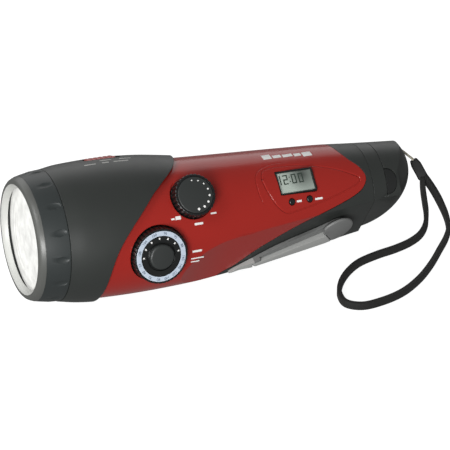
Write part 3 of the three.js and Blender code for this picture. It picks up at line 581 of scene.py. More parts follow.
# ---------- strap, a free cord ----------
TABLE = Vector((PLACE.translation.x, PLACE.translation.y, 0))
WEB_THICK, WEB_WIDTH = 2.9, 4.7
WEB_LIE = 2.5
SLEEVE_ROUTE = [(132.4, 5.1, 36.9), (134.6, 2.9, 32), (137, -0.4, 26)]
CORD_ROUTE = [(125.4, 9.6, 43.4), (127.6, 8.4, 41.6), (130, 6.8, 39.3), (132.2, 5.2, 37.2),
              (134.4, 3.1, 32.4)]
WEB_ROUTE = [(137.2, -1.0, 27), (138.6, -3, 24.6), (141.4, -7.5, 18.8), (143.8, -12.5, 11.8),
             (144.2, -19.2, 6.2), (141.6, -27, 3.4),
             (135.6, -35.2, WEB_LIE), (126, -45.4, WEB_LIE), (113, -58.6, WEB_LIE),
             (99, -70.2, WEB_LIE), (84, -78.8, WEB_LIE), (69, -82.6, WEB_LIE), (55.4, -82.4, WEB_LIE),
             (48.2, -76.4, WEB_LIE), (48.6, -67, WEB_LIE), (54, -56.6, WEB_LIE), (63, -47, WEB_LIE),
             (74, -39.8, WEB_LIE), (88, -36, WEB_LIE), (102, -34, WEB_LIE), (114, -30.6, WEB_LIE),
             (123.4, -25.4, WEB_LIE + 0.3), (129.6, -19.6, 4.9), (132.8, -13.8, 9.2), (134, -9, 14.4),
             (134.8, -5, 19.6), (135.4, -2.6, 24), (136, -0.9, 26.6)]


def on_table(points):
    return [TABLE + Vector(p) * MM for p in points]


def make_webbing():
    """Flat webbing on its edge, with rounded selvedges."""
    line = on_table(centripetal(WEB_ROUTE, 8))
    section = rounded_outline(-WEB_THICK / 2, WEB_THICK / 2, -WEB_WIDTH / 2, WEB_WIDTH / 2, 0.5, 3)
    rows = []
    for i, p in enumerate(line):
        along = direction(line, i)
        wide = (Vector((0, 0, 1)) - along * along.z).normalized()
        thin = along.cross(wide)
        rows.append([p + (thin * u + wide * v) * MM for u, v in section])
    webbing = show(tube_of_rings(rows), "webbing", WEBBING, "case", ["strap_webbing"],
                   Matrix(), 50)


def make_sleeve():
    """The sewn sleeve that holds both ends of the webbing and the cord."""
    line = [Vector(p) for p in centripetal(SLEEVE_ROUTE, 6)]
    sizes = [(2.3 + 0.9 * min(1, 3 * t), 1.7 + 0.5 * min(1, 3 * t)) for t in np.linspace(0, 1, len(line))]
    flat = Vector((0.9, -0.2, 0.35))
    rows = []
    for i, p in enumerate(line):
        along = direction(line, i)
        wide = (flat - along * flat.dot(along)).normalized()
        thin = along.cross(wide)
        a, b = sizes[i]
        rows.append([p + wide * u + thin * v for u, v in rounded_outline(-a, a, -b, b, 1.1, 4)])
    sleeve = bevelled(tube_of_rings(rows), 0.4, 2, 60)
    return show(sleeve, "strap_end", SLEEVE, "case", ["strap_sleeve"],
                Matrix.Translation(TABLE) @ Matrix.Scale(MM, 4), 50)


def make_cord(sleeve):
    """Clear cord: out of the sleeve, round the bar in the tail, and back into the sleeve."""
    side = Vector((0.55, 0.45, -0.1)) * 0.75
    out = [Vector(p) for p in CORD_ROUTE]
    end = out[0] + (out[0] - out[1]).normalized() * 0.8
    points = [p + side for p in reversed(out)] + [end] + [p - side for p in out]
    curve = bpy.data.curves.new("wrist_cord", "CURVE")
    curve.dimensions = "3D"
    curve.bevel_depth = 0.5 * MM
    curve.bevel_resolution = 4
    line = on_table(centripetal(points, 5))
    spline = curve.splines.new("POLY")
    spline.points.add(len(line) - 1)
    for point, p in zip(spline.points, line):
        point.co = (*p, 1)
    cord = placed("wrist_cord", curve)
    curve.materials.append(CLEAR_CORD)
    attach(cord, "case")
    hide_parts("strap_cord")


make_cord(make_sleeve())
make_webbing()


# ---------- shells ----------
def smooth_outline(points, steps=8):
    """A flat curve through points, with even spacing of its parameter."""
    points = [np.array(p, float) for p in points]
    points = [points[0], *points, points[-1]]
    out = []
    for i in range(1, len(points) - 2):
        p0, p1, p2, p3 = points[i - 1:i + 3]
        out += [hermite(p1, p2, (p2 - p0) / 2, (p3 - p1) / 2, k / steps) for k in range(steps)]
    return [tuple(p) for p in out] + [tuple(points[-1])]


THROUGH = 70
PANEL_FRAME = radial(0, PANEL, 0)
BACK_FRAME = radial(0, BACK, 0)


def head_region(shift):
    edge = [(-86.5, -40), (-79, -15), (-57, 10), (-47, 18.5), (-29, 33), (-12, 60)]
    curve = smooth_outline([(-90 + shift, -60)] + [(x + shift, y) for x, y in edge])
    return prism([(-130, -60), *curve, (-130, 60)], -THROUGH, THROUGH, PANEL_FRAME)


def panel_region(grow):
    lower = [(-9, -41), (4, -34), (16.5, -26.6), (39.5, -16.7), (62, -9.8), (75, -5.4)]
    tip = [(82.5, -1.2), (86, 5), (83, 12), (77.5, 18), (73, 28.5), (69, 60)]
    curve = smooth_outline([(-14 + grow, -60)] + [(x + grow, y - grow * 0.6) for x, y in lower + tip])
    return prism([(-100, -60), *curve, (-100, 60)], -THROUGH, THROUGH, PANEL_FRAME)


def front_half(shift):
    return block(-150, 150, -80, 80, -SPLIT_DEPTH + shift, 90, radial(0, SPLIT, 0))


def above_table():
    return block(-0.3, 0.3, -0.3, 0.3, 0, 0.4, PLACE.inverted())


def crank_flat():
    """The flat that the crank turns over; it curves out past the tip of the arm."""
    start, curve, run, steps = -WEB["reach"] - 1.5, 120, 60, 40
    ramp = [(start - run * i / steps, (run * i / steps) ** 2 / (2 * curve)) for i in range(steps + 1)]
    outline = [(90, 0), *ramp, (start - run, 60), (90, 60)]
    upright = Matrix(((1, 0, 0, 0), (0, 0, 1, 0), (0, 1, 0, 0), (0, 0, 0, 1)))
    return prism(outline, -60, 60, crank_frame() @ upright)


def tail_dome(shrink):
    scale = [TAIL["length"] - shrink, TAIL["r"] - shrink, TAIL["r"] - shrink]
    place = radial(TAIL["x"], TAIL["angle"], TAIL["shift"])
    return ball((1, 1, 1), place @ Matrix.Diagonal((*scale, 1)) @ LYING, 144, 80)


def whole_handle(rings=FINE_RINGS, segments=FINE_SEGMENTS):
    return loft(HANDLE, 0, HANDLE_FROM, HANDLE_TO, rings, segments)


def over_flat():
    """Everything from the inner face of the wall behind the crank's flat outwards."""
    return block(-120, 120, -70, 70, -WALL, 60, crank_frame())


def handle_shell():
    shell = cut(whole_handle(), crank_flat())
    inner = cut(loft(HANDLE, -WALL, HANDLE_FROM - 0.5, HANDLE_TO + 0.5, 24, 48), over_flat())
    return cut(shell, inner)


# lines pressed into the red shell, seen square to the panel: the clock panel's outline, a fainter echo
# round its upper left, and a crease above the crank
CLOCK_PANEL = [(17.5, 12.5), (20, 17.5), (26, 19), (40, 18.5), (55, 16), (67, 12.5), (79, 7), (81.5, 4.5),
               (80, 2), (70, -1.5), (52, -6), (34, -9), (28.5, -8.5), (23, -3.5), (19, 5), (17.5, 12.5)]
PANEL_ECHO = [(54, 18.5), (38, 21), (24, 20.5), (15, 16), (13, 7), (15, -2), (21, -9)]
CREASE = [(44, -14.5), (26, -17), (8, -18), (-10, -17.5)]


def on_handle(points, lift, steps=8, sections=HANDLE, facing=PANEL):
    """Points given square to a direction, laid on the loft's surface and lifted off it."""
    curve = np.array(centripetal(sections, 40))
    laid = []
    for x, side in smooth_outline(points, steps):
        radius = np.interp(x, curve[:, 0], curve[:, 1]) + lift
        centre = outward(BULGE) * float(np.interp(x, curve[:, 0], curve[:, 2]))
        across = side - centre.dot(around(facing))
        high = math.sqrt(max(radius**2 - across**2, 0)) + centre.dot(outward(facing))
        laid.append(Vector((x, 0, 0)) + around(facing) * side + outward(facing) * high)
    return laid


def groove(points, width, lift, taper=False):
    """A round tool along a line on the handle; where it tapers, its ends fade out."""
    line = on_handle(points, lift)
    fade = [min(1, 4 * t, 4 * (1 - t)) if taper else 1 for t in np.linspace(0, 1, len(line))]
    return swept(line, [width * max(f, 0.3) for f in fade])


def seat_of(knob):
    """The raised ring round a knob, and what is cut out of it."""
    place = knob_frame(knob)
    hollow_r = knob["r"] + 0.8
    boss = keep(rod(hollow_r + 1.8, -2, 12, 96, place), whole_handle())
    return boss, [rod(hollow_r, 0, 20, 96, place), rod(SPINDLE_R + GAP, -10, 5, 32, place)]


def clock_place():
    return radial(LCD["x"], LCD["angle"], LCD["level"])


def button_place(i):
    return radial(BUTTON["xs"][i], BUTTON["angle"], BUTTON["levels"][i])


def make_front_shell():
    shell = handle_shell()
    volume_boss, volume_cuts = seat_of(VOLUME)
    tuning_boss, tuning_cuts = seat_of(TUNING)
    shell = join(shell, volume_boss, tuning_boss)
    region = keep(cut(panel_region(0), head_region(GAP)), front_half(GAP / 2))
    shell = cut(keep(shell, region), crank_flat())
    w, h = LCD["width"] / 2 + GAP, LCD["height"] / 2 + GAP
    window = prism(rounded_outline(-w, w, -h, h, 0.6), -8, 8, clock_place())
    holes = [rod(BUTTON["r"] + GAP, -8, 8, 40, button_place(i)) for i in range(2)]
    lines = [groove(CLOCK_PANEL, 0.55, 0.22), groove(PANEL_ECHO, 0.5, 0.3, True),
             groove(CREASE, 0.9, 0.45, True)]
    shell = cut(shell, *volume_cuts, *tuning_cuts, window, *holes, *lines)
    return keep(shell, above_table())


show(make_front_shell(), "red_front", RED, replaces=["front_shell"], smooth=9)


def speaker_slots():
    """Rows of slots that fill a circle."""
    slots = []
    for row in range(-3, 4):
        level = row * SLOT_PITCH
        half = math.sqrt(SPEAKER_R**2 - level**2)
        outline = rounded_outline(-half, half, level - 1, level + 1, 0.95)
        slots.append(prism(outline, 10, 60, radial(SPEAKER_X, BACK, 0)))
    return slots


def make_rear_shell():
    shell = keep(handle_shell(), block(-105, SEAM_TAIL - GAP / 2, -80, 80, -80, 80))
    bosses = [rod(BOSS_R, -8, 6, 40, radial(*place)) for place in SCREWS]
    shell = join(shell, *[keep(boss, whole_handle(60, 96)) for boss in bosses])
    shell = cut(shell, keep(panel_region(GAP), front_half(-GAP / 2)), head_region(GAP), crank_flat())
    door = block(DOOR["x0"], DOOR["x1"], -DOOR["half"], DOOR["half"], 0, 60, BACK_FRAME)
    profile = [(0, -9), (1.8, -9), (1.8, -1.1), (3.3, -1.1), (3.3, 9), (0, 9)]
    wells = [turned(profile, 40, radial(*place)) for place in SCREWS]
    shaft_hole = rod(4.3, -12, 6, 48, crank_frame())
    shell = cut(shell, shaft_hole, door, *speaker_slots(), *wells)
    return keep(shell, above_table())


show(make_rear_shell(), "rear_case", DARK, replaces=["rear_shell"])


def make_door():
    skin = cut(whole_handle(), loft(HANDLE, -2, HANDLE_FROM - 0.5, HANDLE_TO + 0.5, 40, 96))
    x0, x1, half = DOOR["x0"] + GAP, DOOR["x1"] - GAP, DOOR["half"] - GAP
    door = keep(skin, prism(rounded_outline(x0, x1, -half, half, 1.5), 0, 60, BACK_FRAME))
    thumb = ball((2, 6, 1.2), radial(DOOR["x1"] - 7, BACK, 31))
    starts = [DOOR["x1"] - 14 + 1.6 * i for i in range(3)]
    ribs = [block(x, x + 0.8, -7, 7, 30.9, 40, BACK_FRAME) for x in starts]
    return keep(cut(door, thumb, *ribs), above_table())


show(make_door(), "door_panel", DARK, "door", ["battery_door"])


def lamp_switch_place():
    return radial(LAMP_SWITCH["x"], LAMP_SWITCH["angle"], LAMP_SWITCH["level"])


def make_head():
    ring = keep(cut(loft(HEAD, 0, SEAM_BEZEL, -2), loft(HEAD, -WALL, SEAM_BEZEL - 1, -1, 40, 96)),
                head_region(0))
    place = lamp_switch_place()
    half, wide = LAMP_SWITCH["length"] / 2, LAMP_SWITCH["width"] / 2
    pad = keep(block(-half - 2, half + 2, -wide - 2, wide + 2, -4.6, -1.2, place),
               loft(HEAD, 0, SEAM_BEZEL, -2, 60, 96))
    pocket = prism(rounded_outline(-half, half, -wide, wide, 1.6), -2.4, 6, place)
    slot = block(-6, 6, -2, 2, -8, 0, place)
    return keep(cut(join(ring, pad), pocket, slot), above_table())


show(make_head(), "head_case", DARK_SMOOTH, replaces=["head_shell"])


def jack_place():
    return radial(JACK["x"], JACK["angle"], JACK["level"])


def bore_place():
    """The axis of the socket's bore, its own radius in from the flap's straight edge."""
    return jack_place() @ Matrix.Translation((JACK["bore"], 0, 0))


def jack_outline(grow, steps=10):
    """The flap's straight edge and its blunt nose, as two cubic curves."""
    half, deep = JACK["height"] / 2 + grow, JACK["depth"] + grow
    corners = [(-grow, -half), (JACK["depth"] * 0.75 + grow, -half), (deep, -half * 0.5), (deep, 0),
               (deep, half * 0.5), (JACK["depth"] * 0.75 + grow, half), (-grow, half)]
    points = []
    for a, b, c, d in (corners[:4], corners[3:]):
        for k in range(steps):
            t = k / steps
            weights = [(1 - t) ** 3, 3 * t * (1 - t) ** 2, 3 * t**2 * (1 - t), t**3]
            points.append(tuple(sum(w * p[n] for w, p in zip(weights, (a, b, c, d))) for n in range(2)))
    return points + [corners[-1]]


def lug_place():
    return radial(LUG["x"], LUG["angle"], LUG["r"])


def lug_block(wall):
    """The pocket that the strap's bar crosses, or its walls."""
    high, wide, deep = LUG["high"] / 2 + wall, LUG["wide"] / 2 + wall, LUG["deep"] + wall
    return block(-deep, 6, -high, high, -wide, wide, lug_place())


def make_tail():
    outer = cut(keep(whole_handle(), tail_dome(0)), crank_flat())
    room = keep(loft(HANDLE, -WALL, SEAM_TAIL - 5, 122, 12, 48), tail_dome(WALL))
    room = cut(room, over_flat())
    shell = cut(keep(outer, block(SEAM_TAIL + GAP / 2, 140, -60, 60, -60, 60)), room)
    walls = lug_block(1.6)
    walls = keep(walls, tail_dome(0.2), loft(HANDLE, -0.2, SEAM_TAIL, 129, 30, 96))
    backing = keep(block(-2, 9.5, -9.5, 9.5, -4, -1, jack_place()), whole_handle(60, 96))
    shell = join(shell, walls, backing)
    dish = prism(jack_outline(0.2), -1.9, 12, jack_place())
    hole = rod(JACK["bore"], -12, 2, 40, bore_place())
    bar_place = lug_place() @ Matrix.Translation((-2.2, 0, 0)) @ Matrix.Rotation(math.pi / 2, 4, "X")
    bar = rod(LUG["bar"], -5, 5, 24, bar_place)
    hollow = cut(lug_block(0), bar)
    seam = cut(loft(HANDLE, 1, SEAM_TAIL + 9.2, SEAM_TAIL + 9.7, 3),
               loft(HANDLE, -0.35, SEAM_TAIL, 112, 8))
    return cut(shell, dish, hole, hollow, seam)


show(make_tail(), "tail_case", DARK_SMOOTH, replaces=["tail_cap"])


def make_jack_flap():
    lid = keep(prism(jack_outline(-0.25), -1.6, 0.6, jack_place()), loft(HANDLE, -0.3, SEAM_TAIL, 122, 60))
    plug = rod(2.2, -2.7, -1.2, 32, bore_place())
    return join(lid, plug)


show(make_jack_flap(), "socket_flap", RUBBER, "jack_flap", ["jack_cover"])

# ---------- bezel and lamp ----------
BEZEL_PROFILE = [(38.4, SEAM_BEZEL - GAP), (38.0, -113), (36.9, -118.6), (36.4, -121)]
LIP_PROFILE = [(35.9, -122.4), (35.2, -123.8), (34.3, -124.7), (33.2, -125), (32.4, -124.94),
               (32.4, -121.4)]
RIM_PROFILE = [(32.35, -124.92), (31.3, -124.3), (30.4, -123.3), (29.7, -121.4), (32.35, -121.4)]


def make_bezel():
    ring = turned([*BEZEL_PROFILE, (34.4, -121), (34.4, SEAM_BEZEL - GAP)], 192, LYING)
    scoops = [ball((6, 2.6, 1.3), radial(-114, angle, 38.6), 32, 16) for angle in range(8, 360, 24)]
    return cut(ring, *scoops)


show(make_bezel(), "bezel_ring", BEZEL, replaces=["bezel"])
lip = turned([(36.4, -121.05), *LIP_PROFILE, (34.4, -121.05)], 192, LYING)
show(lip, "bezel_lip", PAINTED_LIT_LIP, smooth=60)
show(turned(RIM_PROFILE, 192, LYING), "bezel_inner_rim", LAMP_LIT_RIM, smooth=60)


def make_lens():
    """A shallow cover whose front is pressed into rings of small facets."""
    x = LENS_X
    front = [(0, x - 1.6)]
    for i, r in enumerate(np.linspace(2.5, 32.6, 13)):
        front.append((r, x - 1.55 + 1.1 * (r / 33) ** 2 - (0.12 if i % 2 else 0)))
    return turned([*front, (33.1, x - 0.4), (33.1, x + 1.6), (0, x + 0.8)], 24, LYING)


show(make_lens(), "lens_cover", LENS, replaces=["lens"], smooth=5)

# ---------- controls ----------
def grooved_knob(r, base, top, ribs, depth, edge):
    body = rounded_rod(r, base, top, edge, 192)
    cuts = []
    for i in range(ribs):
        a = 2 * math.pi * i / ribs
        place = Matrix.Translation((r * math.cos(a), r * math.sin(a), 0))
        cuts.append(rod(depth, base + 1.5, top + 2, 16, place))
    return cut(body, *cuts)


def spindle_bore():
    return rod(SPINDLE_R + GAP, -1, SPINDLE_TOP + GAP, 40)


VOLUME_PLACE = PLACE @ knob_frame(VOLUME)
TUNING_PLACE = PLACE @ knob_frame(TUNING)
VOLUME_TOP = VOLUME["height"]
TUNING_TOP = TUNING["height"]


def make_volume_knob():
    knob = grooved_knob(VOLUME["r"], 0.4, VOLUME_TOP - 0.1, 30, 0.62, 0.9)
    face_r = 10.7
    knob = cut(knob, spindle_bore(), rod(face_r + 0.2, VOLUME_TOP - 0.7, 20, 96))
    show(knob, "volume_dial", BLACK, "volume_control", ["volume_knob"], VOLUME_PLACE)
    face = rounded_rod(face_r, VOLUME_TOP - 1.2, VOLUME_TOP, 0.5, 96)
    show(face, "volume_face", KNOB_FACE, "volume_control", matrix=VOLUME_PLACE)
    for i in range(8):
        a = math.radians(94 - 26 * i)
        at = Matrix.Translation((8.5 * math.cos(a), 8.5 * math.sin(a), 0))
        dot = rounded_rod(0.36 + 0.06 * i, VOLUME_TOP - 0.3, VOLUME_TOP + 0.06, 0.05, 24, at)
        show(dot, f"volume_dot_{i + 1}", PRINT_WHITE, "volume_control",
             matrix=VOLUME_PLACE)


make_volume_knob()


def make_tuning_knob():
    top = TUNING_TOP
    knob = grooved_knob(TUNING["r"], 0.4, top, 40, 0.5, 0.4)
    channel = turned([(11.9, top - 0.8), (15.4, top - 0.8), (15.4, top + 2), (11.9, top + 2)], 96)
    moat = turned([(7.6, top - 0.9), (8.6, top - 0.9), (8.9, top + 2), (7.6, top + 2)], 96)
    knob = cut(knob, channel, moat, spindle_bore())
    show(knob, "tuning_dial", BLACK, "tuning_control", ["tuning_knob"], TUNING_PLACE)
    centre = rounded_rod(7.4, top - 1, top + 2.1, 1.1, 96)
    show(centre, "tuning_centre", KNOB_FACE, "tuning_control",
         matrix=TUNING_PLACE, smooth=50)
    ring = turned([(12.2, top - 0.5), (15.1, top - 0.5), (15.1, top), (15.0, top + 0.1), (12.3, top + 0.1),
                   (12.2, top)], 128)
    show(ring, "dial_ring", DIAL_RING, "tuning_control", ["tuning_scale"],
         TUNING_PLACE)


def raised_number(number, name, matrix):
    curve = bpy.data.curves.new(name, "FONT")
    curve.body = number
    curve.size = 2.2
    curve.extrude = 0.05
    curve.align_x = "CENTER"
    curve.align_y = "CENTER"
    source = placed(name + "_source", curve)
    number_piece = placed(name, evaluated_mesh(source))
    bpy.data.objects.remove(source)
    show(number_piece, name, PRINT_DARK, "tuning_control", matrix=matrix)


FM_BAND = ["108", "104", "100", "96", "92", "88"]
AM_BAND = ["160", "140", "120", "100", "80", "70", "60", "53"]


def make_scale():
    """Round numbers of the two bands, and ticks on the black ring inside."""
    for name, band, start, step in (("fm", FM_BAND, 165, -29), ("am", AM_BAND, -12, -22)):
        for i, number in enumerate(band):
            turn = Matrix.Rotation(math.radians(start + step * i - 90), 4, "Z")
            place = TUNING_PLACE @ turn @ Matrix.Translation((0, 13.65, TUNING_TOP + 0.1))
            raised_number(number, f"{name}_{number}", place)
    for i in range(7):
        turn = Matrix.Rotation(math.radians(178 - 28 * i), 4, "Z")
        tick = block(10.2, 11.3, -0.4, 0.4, TUNING_TOP - 0.2, TUNING_TOP + 0.06)
        show(tick, f"tuning_tick_{i + 1}", PRINT_WHITE, "tuning_control",
             matrix=TUNING_PLACE @ turn)


make_tuning_knob()
make_scale()


def make_lamp_switch():
    half, wide = 8.4, LAMP_SWITCH["width"] / 2 - GAP
    cap = prism(rounded_outline(-half, half, -wide, wide, 1.2), -2.1, 0.1)
    cap = bevelled(cap, 0.35, 3, 60)
    ridges = [block(x - 0.5, x + 0.5, -wide - 1, wide + 1, -0.4, 3) for x in (-6, -3, 0, 3, 6)]
    cap = join(cut(cap, *ridges), block(-2.4, 2.4, -1.6, 1.6, -6, -2))
    show(cap, "slide_cap", SWITCH_RED, "lamp_slider", ["lamp_switch_knob"],
         PLACE @ lamp_switch_place())


make_lamp_switch()


# ---------- clock ----------
SEGMENT_HALF = 0.34
SEGMENTS = {"1": "bc", "2": "abged", "0": "abcdef"}
SEGMENT_ENDS = {"a": ((0, 2), (1, 2)), "b": ((1, 2), (1, 1)), "c": ((1, 1), (1, 0)), "d": ((0, 0), (1, 0)),
                "e": ((0, 0), (0, 1)), "f": ((0, 1), (0, 2)), "g": ((0, 1), (1, 1))}


def make_digit(digit, x, y, wide, high, place, name):
    bars = []
    for key in SEGMENTS[digit]:
        (x0, y0), (x1, y1) = SEGMENT_ENDS[key]
        a = Vector((x + x0 * wide, y + y0 * high / 2))
        b = Vector((x + x1 * wide, y + y1 * high / 2))
        low = (min(a.x, b.x) - SEGMENT_HALF, min(a.y, b.y) - SEGMENT_HALF)
        size = (abs(b.x - a.x) + 2 * SEGMENT_HALF, abs(b.y - a.y) + 2 * SEGMENT_HALF)
        bars.append(block(low[0], low[0] + size[0], low[1], low[1] + size[1], 0, 0.1))
    digit_piece = join(bars[0], *bars[1:])
    show(digit_piece, name, SEGMENT, matrix=PLACE @ place)


def make_clock():
    w, h = LCD["width"] / 2, LCD["height"] / 2
    rim = prism(rounded_outline(-w, w, -h, h, 0.5), -2.6, 0.2)
    rim = cut(rim, block(-w + 0.8, w - 0.8, -h + 0.8, h - 0.8, -4, 4))
    show(bevelled(rim, 0.25, 2, 60), "clock_surround", BLACK, replaces=["clock_frame"],
         matrix=PLACE @ clock_place())
    w, h = w - 0.9, h - 0.9
    pane = bevelled(block(-w, w, -h, h, -1.2, -0.6), 0.1, 2, 60)
    # the point where the painted dark reflection on the pane is deepest
    display = display_glass(PLACE @ clock_place() @ Vector((0.45 * w, 0.6 * h, -0.6)))
    show(pane, "clock_face", display, replaces=["clock_pane"], matrix=PLACE @ clock_place())
    place = clock_place() @ Matrix.Translation((0, 0, -0.62))
    x = -w + 0.9
    for i, digit in enumerate("1200"):
        if digit == "1":
            x -= 1.6
        make_digit(digit, x, -0.6, 2.3, 5.2, place, f"clock_digit_{i + 1}")
        x += 4.4
        if i == 1:
            for k, y in enumerate((0.6, 3.2)):
                point = block(x - 0.7, x - 0.1, y - 0.3, y + 0.3, 0, 0.1)
                show(point, f"clock_point_{k + 1}", SEGMENT, matrix=PLACE @ place)
            x += 1.1


make_clock()


def make_buttons():
    for i, (node, body) in enumerate((("set_button", "set_key"), ("mode_button", "mode_key"))):
        r = BUTTON["r"]
        profile = [(0, -3.4), (2.8, -3.4), (2.8, -2.7), (r, -2.7), (r, 0.5), (r - 0.25, 0.95),
                   (r - 0.7, 1.15), (0.9, 1.1), (0, 0.95)]
        show(turned(profile, 48), f"{node}_cap", BLACK, body, [node], PLACE @ button_place(i))


make_buttons()


# ---------- crank ----------
def web_outline():
    upper = smooth_outline(WEB_UPPER, 6)
    lower = smooth_outline(WEB_LOWER, 6)
    turns = np.linspace(-math.pi / 2, math.pi / 2, 24)
    hub = [(8.2 * math.cos(a), 8.2 * math.sin(a) - 1.2) for a in turns]
    return [*upper, (-WEB["reach"], -1.8), *lower, *hub]


def beyond(x):
    """Everything on the arm from x to past its tip."""
    return block(-80, x, -20, 20, -5, 12)


def under_slope(x, z, fall):
    """Everything under a plane that falls towards the tip of the arm."""
    lean = Matrix.Translation((x, 0, z)) @ Matrix.Rotation(-fall, 4, "Y")
    return block(-80, 30, -30, 30, -12, 0, lean)


def grip_outline(inset, depth=14):
    x0, x1, y = GRIP["x0"] + inset, GRIP["x1"] - inset, GRIP["y"] - inset
    return [(x0, y), (x0, -depth), (x1 + GRIP["lean"] * depth / 10, -depth), (x1, y)]


def pin_rod(r, y0, y1, segments=32):
    lying = Matrix.Translation((PIN["x"], 0, PIN["z"])) @ Matrix.Rotation(-math.pi / 2, 4, "X")
    return rod(r, y0, y1, segments, lying)


def arm_solid():
    """The whole arm, with a thin floor under the end of the grip."""
    base, web_top, pad_top, r = WEB["base"], WEB["top"], WEB["pad"], WEB["pad_r"]
    web = prism(web_outline(), base, web_top)
    tip = keep(prism(web_outline(), base, WEB["tip_top"]), beyond(WEB["tip_from"]),
               under_slope(WEB["fall_from"], WEB["tip_top"], WEB["fall"]))
    profile = [(0, base), (6.5, base), (8.2, web_top), (r - 0.1, 3.4), (r, 3.6), (r, 4.1), (r - 0.12, 4.5),
               (r - 0.4, 4.8), (r - 0.9, pad_top), (0, pad_top)]
    pad = cut(turned(profile, 128), block(-20, -8, -20, 20, -5, 12))
    arm = bevelled(join(web, tip, pad), 0.3, 3, 50)
    grip_pocket = prism(grip_outline(0), -1, 12)
    pin_hole = pin_rod(PIN["r"] + GAP, -12, 2.0)
    hexagon = rod(3.2 + GAP, -1, 2.6, 6)
    screw_hole = rod(1.7, -1, 4)
    arm = cut(arm, grip_pocket, pin_hole, hexagon, screw_hole)
    floor = keep(prism(web_outline(), base, 0.65), block(GRIP["x0"] - 1, POINT, -20, 20, -5, 12))
    return join(arm, floor)


def make_arm():
    """The blade, and its paler point beyond the end of the grip."""
    point = keep(arm_solid(), beyond(POINT))
    blade = cut(arm_solid(), beyond(POINT))
    show(blade, "crank_blade", CRANK_GREY, "crank", ["crank_arm"], PLACE @ ARM)
    show(point, "crank_point", GRIP_GREY, "crank", matrix=PLACE @ ARM)


def make_grip():
    bar = keep(prism(grip_outline(GAP), GRIP["base"], GRIP["top"]),
               under_slope(GRIP["x1"], GRIP["top"], GRIP["fall"]), prism(web_outline(), 0, 12))
    corners = cut(beyond(PIN["x"]), pin_rod(PIN["z"] - GRIP["base"], -20, 12, 48))
    bar = cut(bevelled(cut(bar, corners), 0.4, 4, 50), pin_rod(PIN["r"] + GAP, -12, 6))
    show(bar, "crank_handle", GRIP_GREY, "grip", ["crank_grip"], PLACE @ ARM)


make_arm()
make_grip()

# ---------- prints on the red shell ----------
def printed_bar(x0, x1, side, tall, name, sections=HANDLE, facing=PANEL, material=PRINT_WHITE):
    """A thin printed bar that follows the shell; it stands where a word would be."""
    steps = 10
    strips = []
    for across in np.linspace(-tall / 2, tall / 2, 5):
        line = [(x, side + across) for x in np.linspace(x0, x1, steps)]
        strips.append(on_handle(line, 0.04, 1, sections, facing))
    sunk = outward(facing) * 0.4
    rows = [[strips[0][i] - sunk, strips[-1][i] - sunk, *[strip[i] for strip in reversed(strips)]]
            for i in range(steps)]
    show(tube_of_rings(rows), name, material, smooth=50)


# bars in place of words, from x to x, at a height up the panel, and how tall: a row above the clock,
# those at the volume knob, those at the tuning dial, and one beside each button
PANEL_MARKS = [(25, 30.5, 25.5, 2.8), (31.5, 37, 25, 1.7), (38, 44.5, 24.7, 1.7), (45.5, 50, 24.3, 1.7),
               (51, 57, 23.9, 2.6),
               (-45, -43, -2.2, 1), (-31, -25.6, -7, 1.3), (-20, -16.4, -2.3, 1),
               (-33, -27, -22.4, 1.2), (-33.5, -25.4, -26.4, 0.7), (-33.5, -28, -28.2, 0.7),
               (36.5, 39.8, -3.2, 1.2), (49, 54, -3.5, 1.2)]
LAMP_MARKS = [(-74, -67, 2, 1), (-62, -55, 2, 1), (-85, -78, -1.8, 1), (-74, -70, -1.8, 1),
              (-67, -58, -1.8, 1)]
for i, mark in enumerate(PANEL_MARKS):
    printed_bar(*mark, f"print_mark_{i + 1}")
printed_bar(-42.4, -39, -1.9, 2, "print_box")
for i, mark in enumerate(LAMP_MARKS):
    printed_bar(*mark, f"lamp_mark_{i + 1}", HEAD, 98, PRINT_GREY)

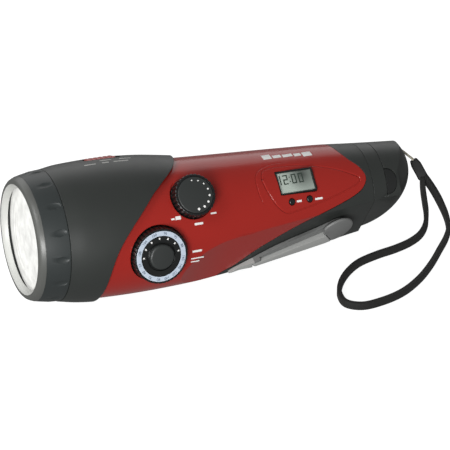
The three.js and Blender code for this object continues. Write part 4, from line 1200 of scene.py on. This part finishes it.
# ---------- carried-over parts ----------
FINISHES = {
    "lens_gasket": RUBBER, "reflector": MIRROR, "led_board": BOARD, "jack_socket": INNER,
    "volume_pot": STEEL, "tuning_capacitor": INNER, "lamp_switch_body": INNER, "clock_module": BOARD,
    "main_board": BOARD, "speaker": INNER, "ferrite_rod": FERRITE, "antenna_coil": COPPER,
    "battery_holder": INNER, "contact_front": STEEL, "contact_rear": STEEL, "crank_shaft": STEEL,
    "grip_pin": STEEL, "crank_screw": STEEL, "drive_gear": BRASS, "dynamo_rotor": STEEL,
    "dynamo_case": STEEL,
}
FINISHES.update({f"led_{i}": LENS for i in range(1, 6)})
FINISHES.update({f"case_screw_{i}": STEEL for i in range(1, 4)})
FINISHES.update({f"cell_{i}": CELL_SKIN for i in range(1, 4)})
for name, material in FINISHES.items():
    nodes[name].data.materials.clear()
    nodes[name].data.materials.append(material)


# ---------- floor and light ----------
def make_floor():
    floor = made([(-6, -6, 0), (6, -6, 0), (6, 6, 0), (-6, 6, 0)], [(0, 1, 2, 3)], "floor")
    paper = Shader("pale_paper", (0.25, 0.25, 0.25), 0.9, Emission_Strength=0.93)
    paper.shader.inputs["Emission Color"].default_value = (1, 1, 1, 1)
    paper.tint(paper.noise(3, 2), 0.99, 1.01)
    floor.data.materials.append(paper.material)
    floor.visible_glossy = floor.visible_diffuse = False


def soft_light(name, place, aim, size, power):
    light = bpy.data.lights.new(name, "AREA")
    light.shape = "RECTANGLE"
    light.size, light.size_y = size
    light.energy = power
    obj = placed(name, light)
    obj.location = place
    obj.rotation_euler = (Vector(aim) - Vector(place)).to_track_quat("-Z", "Y").to_euler()


make_floor()
soft_light("back_wall", (0.1, 1.5, 0.8), (0, 0, 0), (3, 1.2), 14)
soft_light("key", (-1.2, -1.7, 0.45), (0, 0, 0.03), (1, 0.7), 47)
soft_light("left_top", (-1.2, -0.2, 1.3), (0, 0, 0.03), (0.7, 0.7), 10)
soft_light("lens_side", (-1.5, -0.3, 0.3), (-0.1, 0, 0.04), (0.5, 0.5), 1.5)

world = bpy.data.worlds.new("studio")
world.use_nodes = True
world.node_tree.nodes["Background"].inputs["Color"].default_value = (1, 1, 1, 1)
world.node_tree.nodes["Background"].inputs["Strength"].default_value = 0.22
bpy.context.scene.world = world
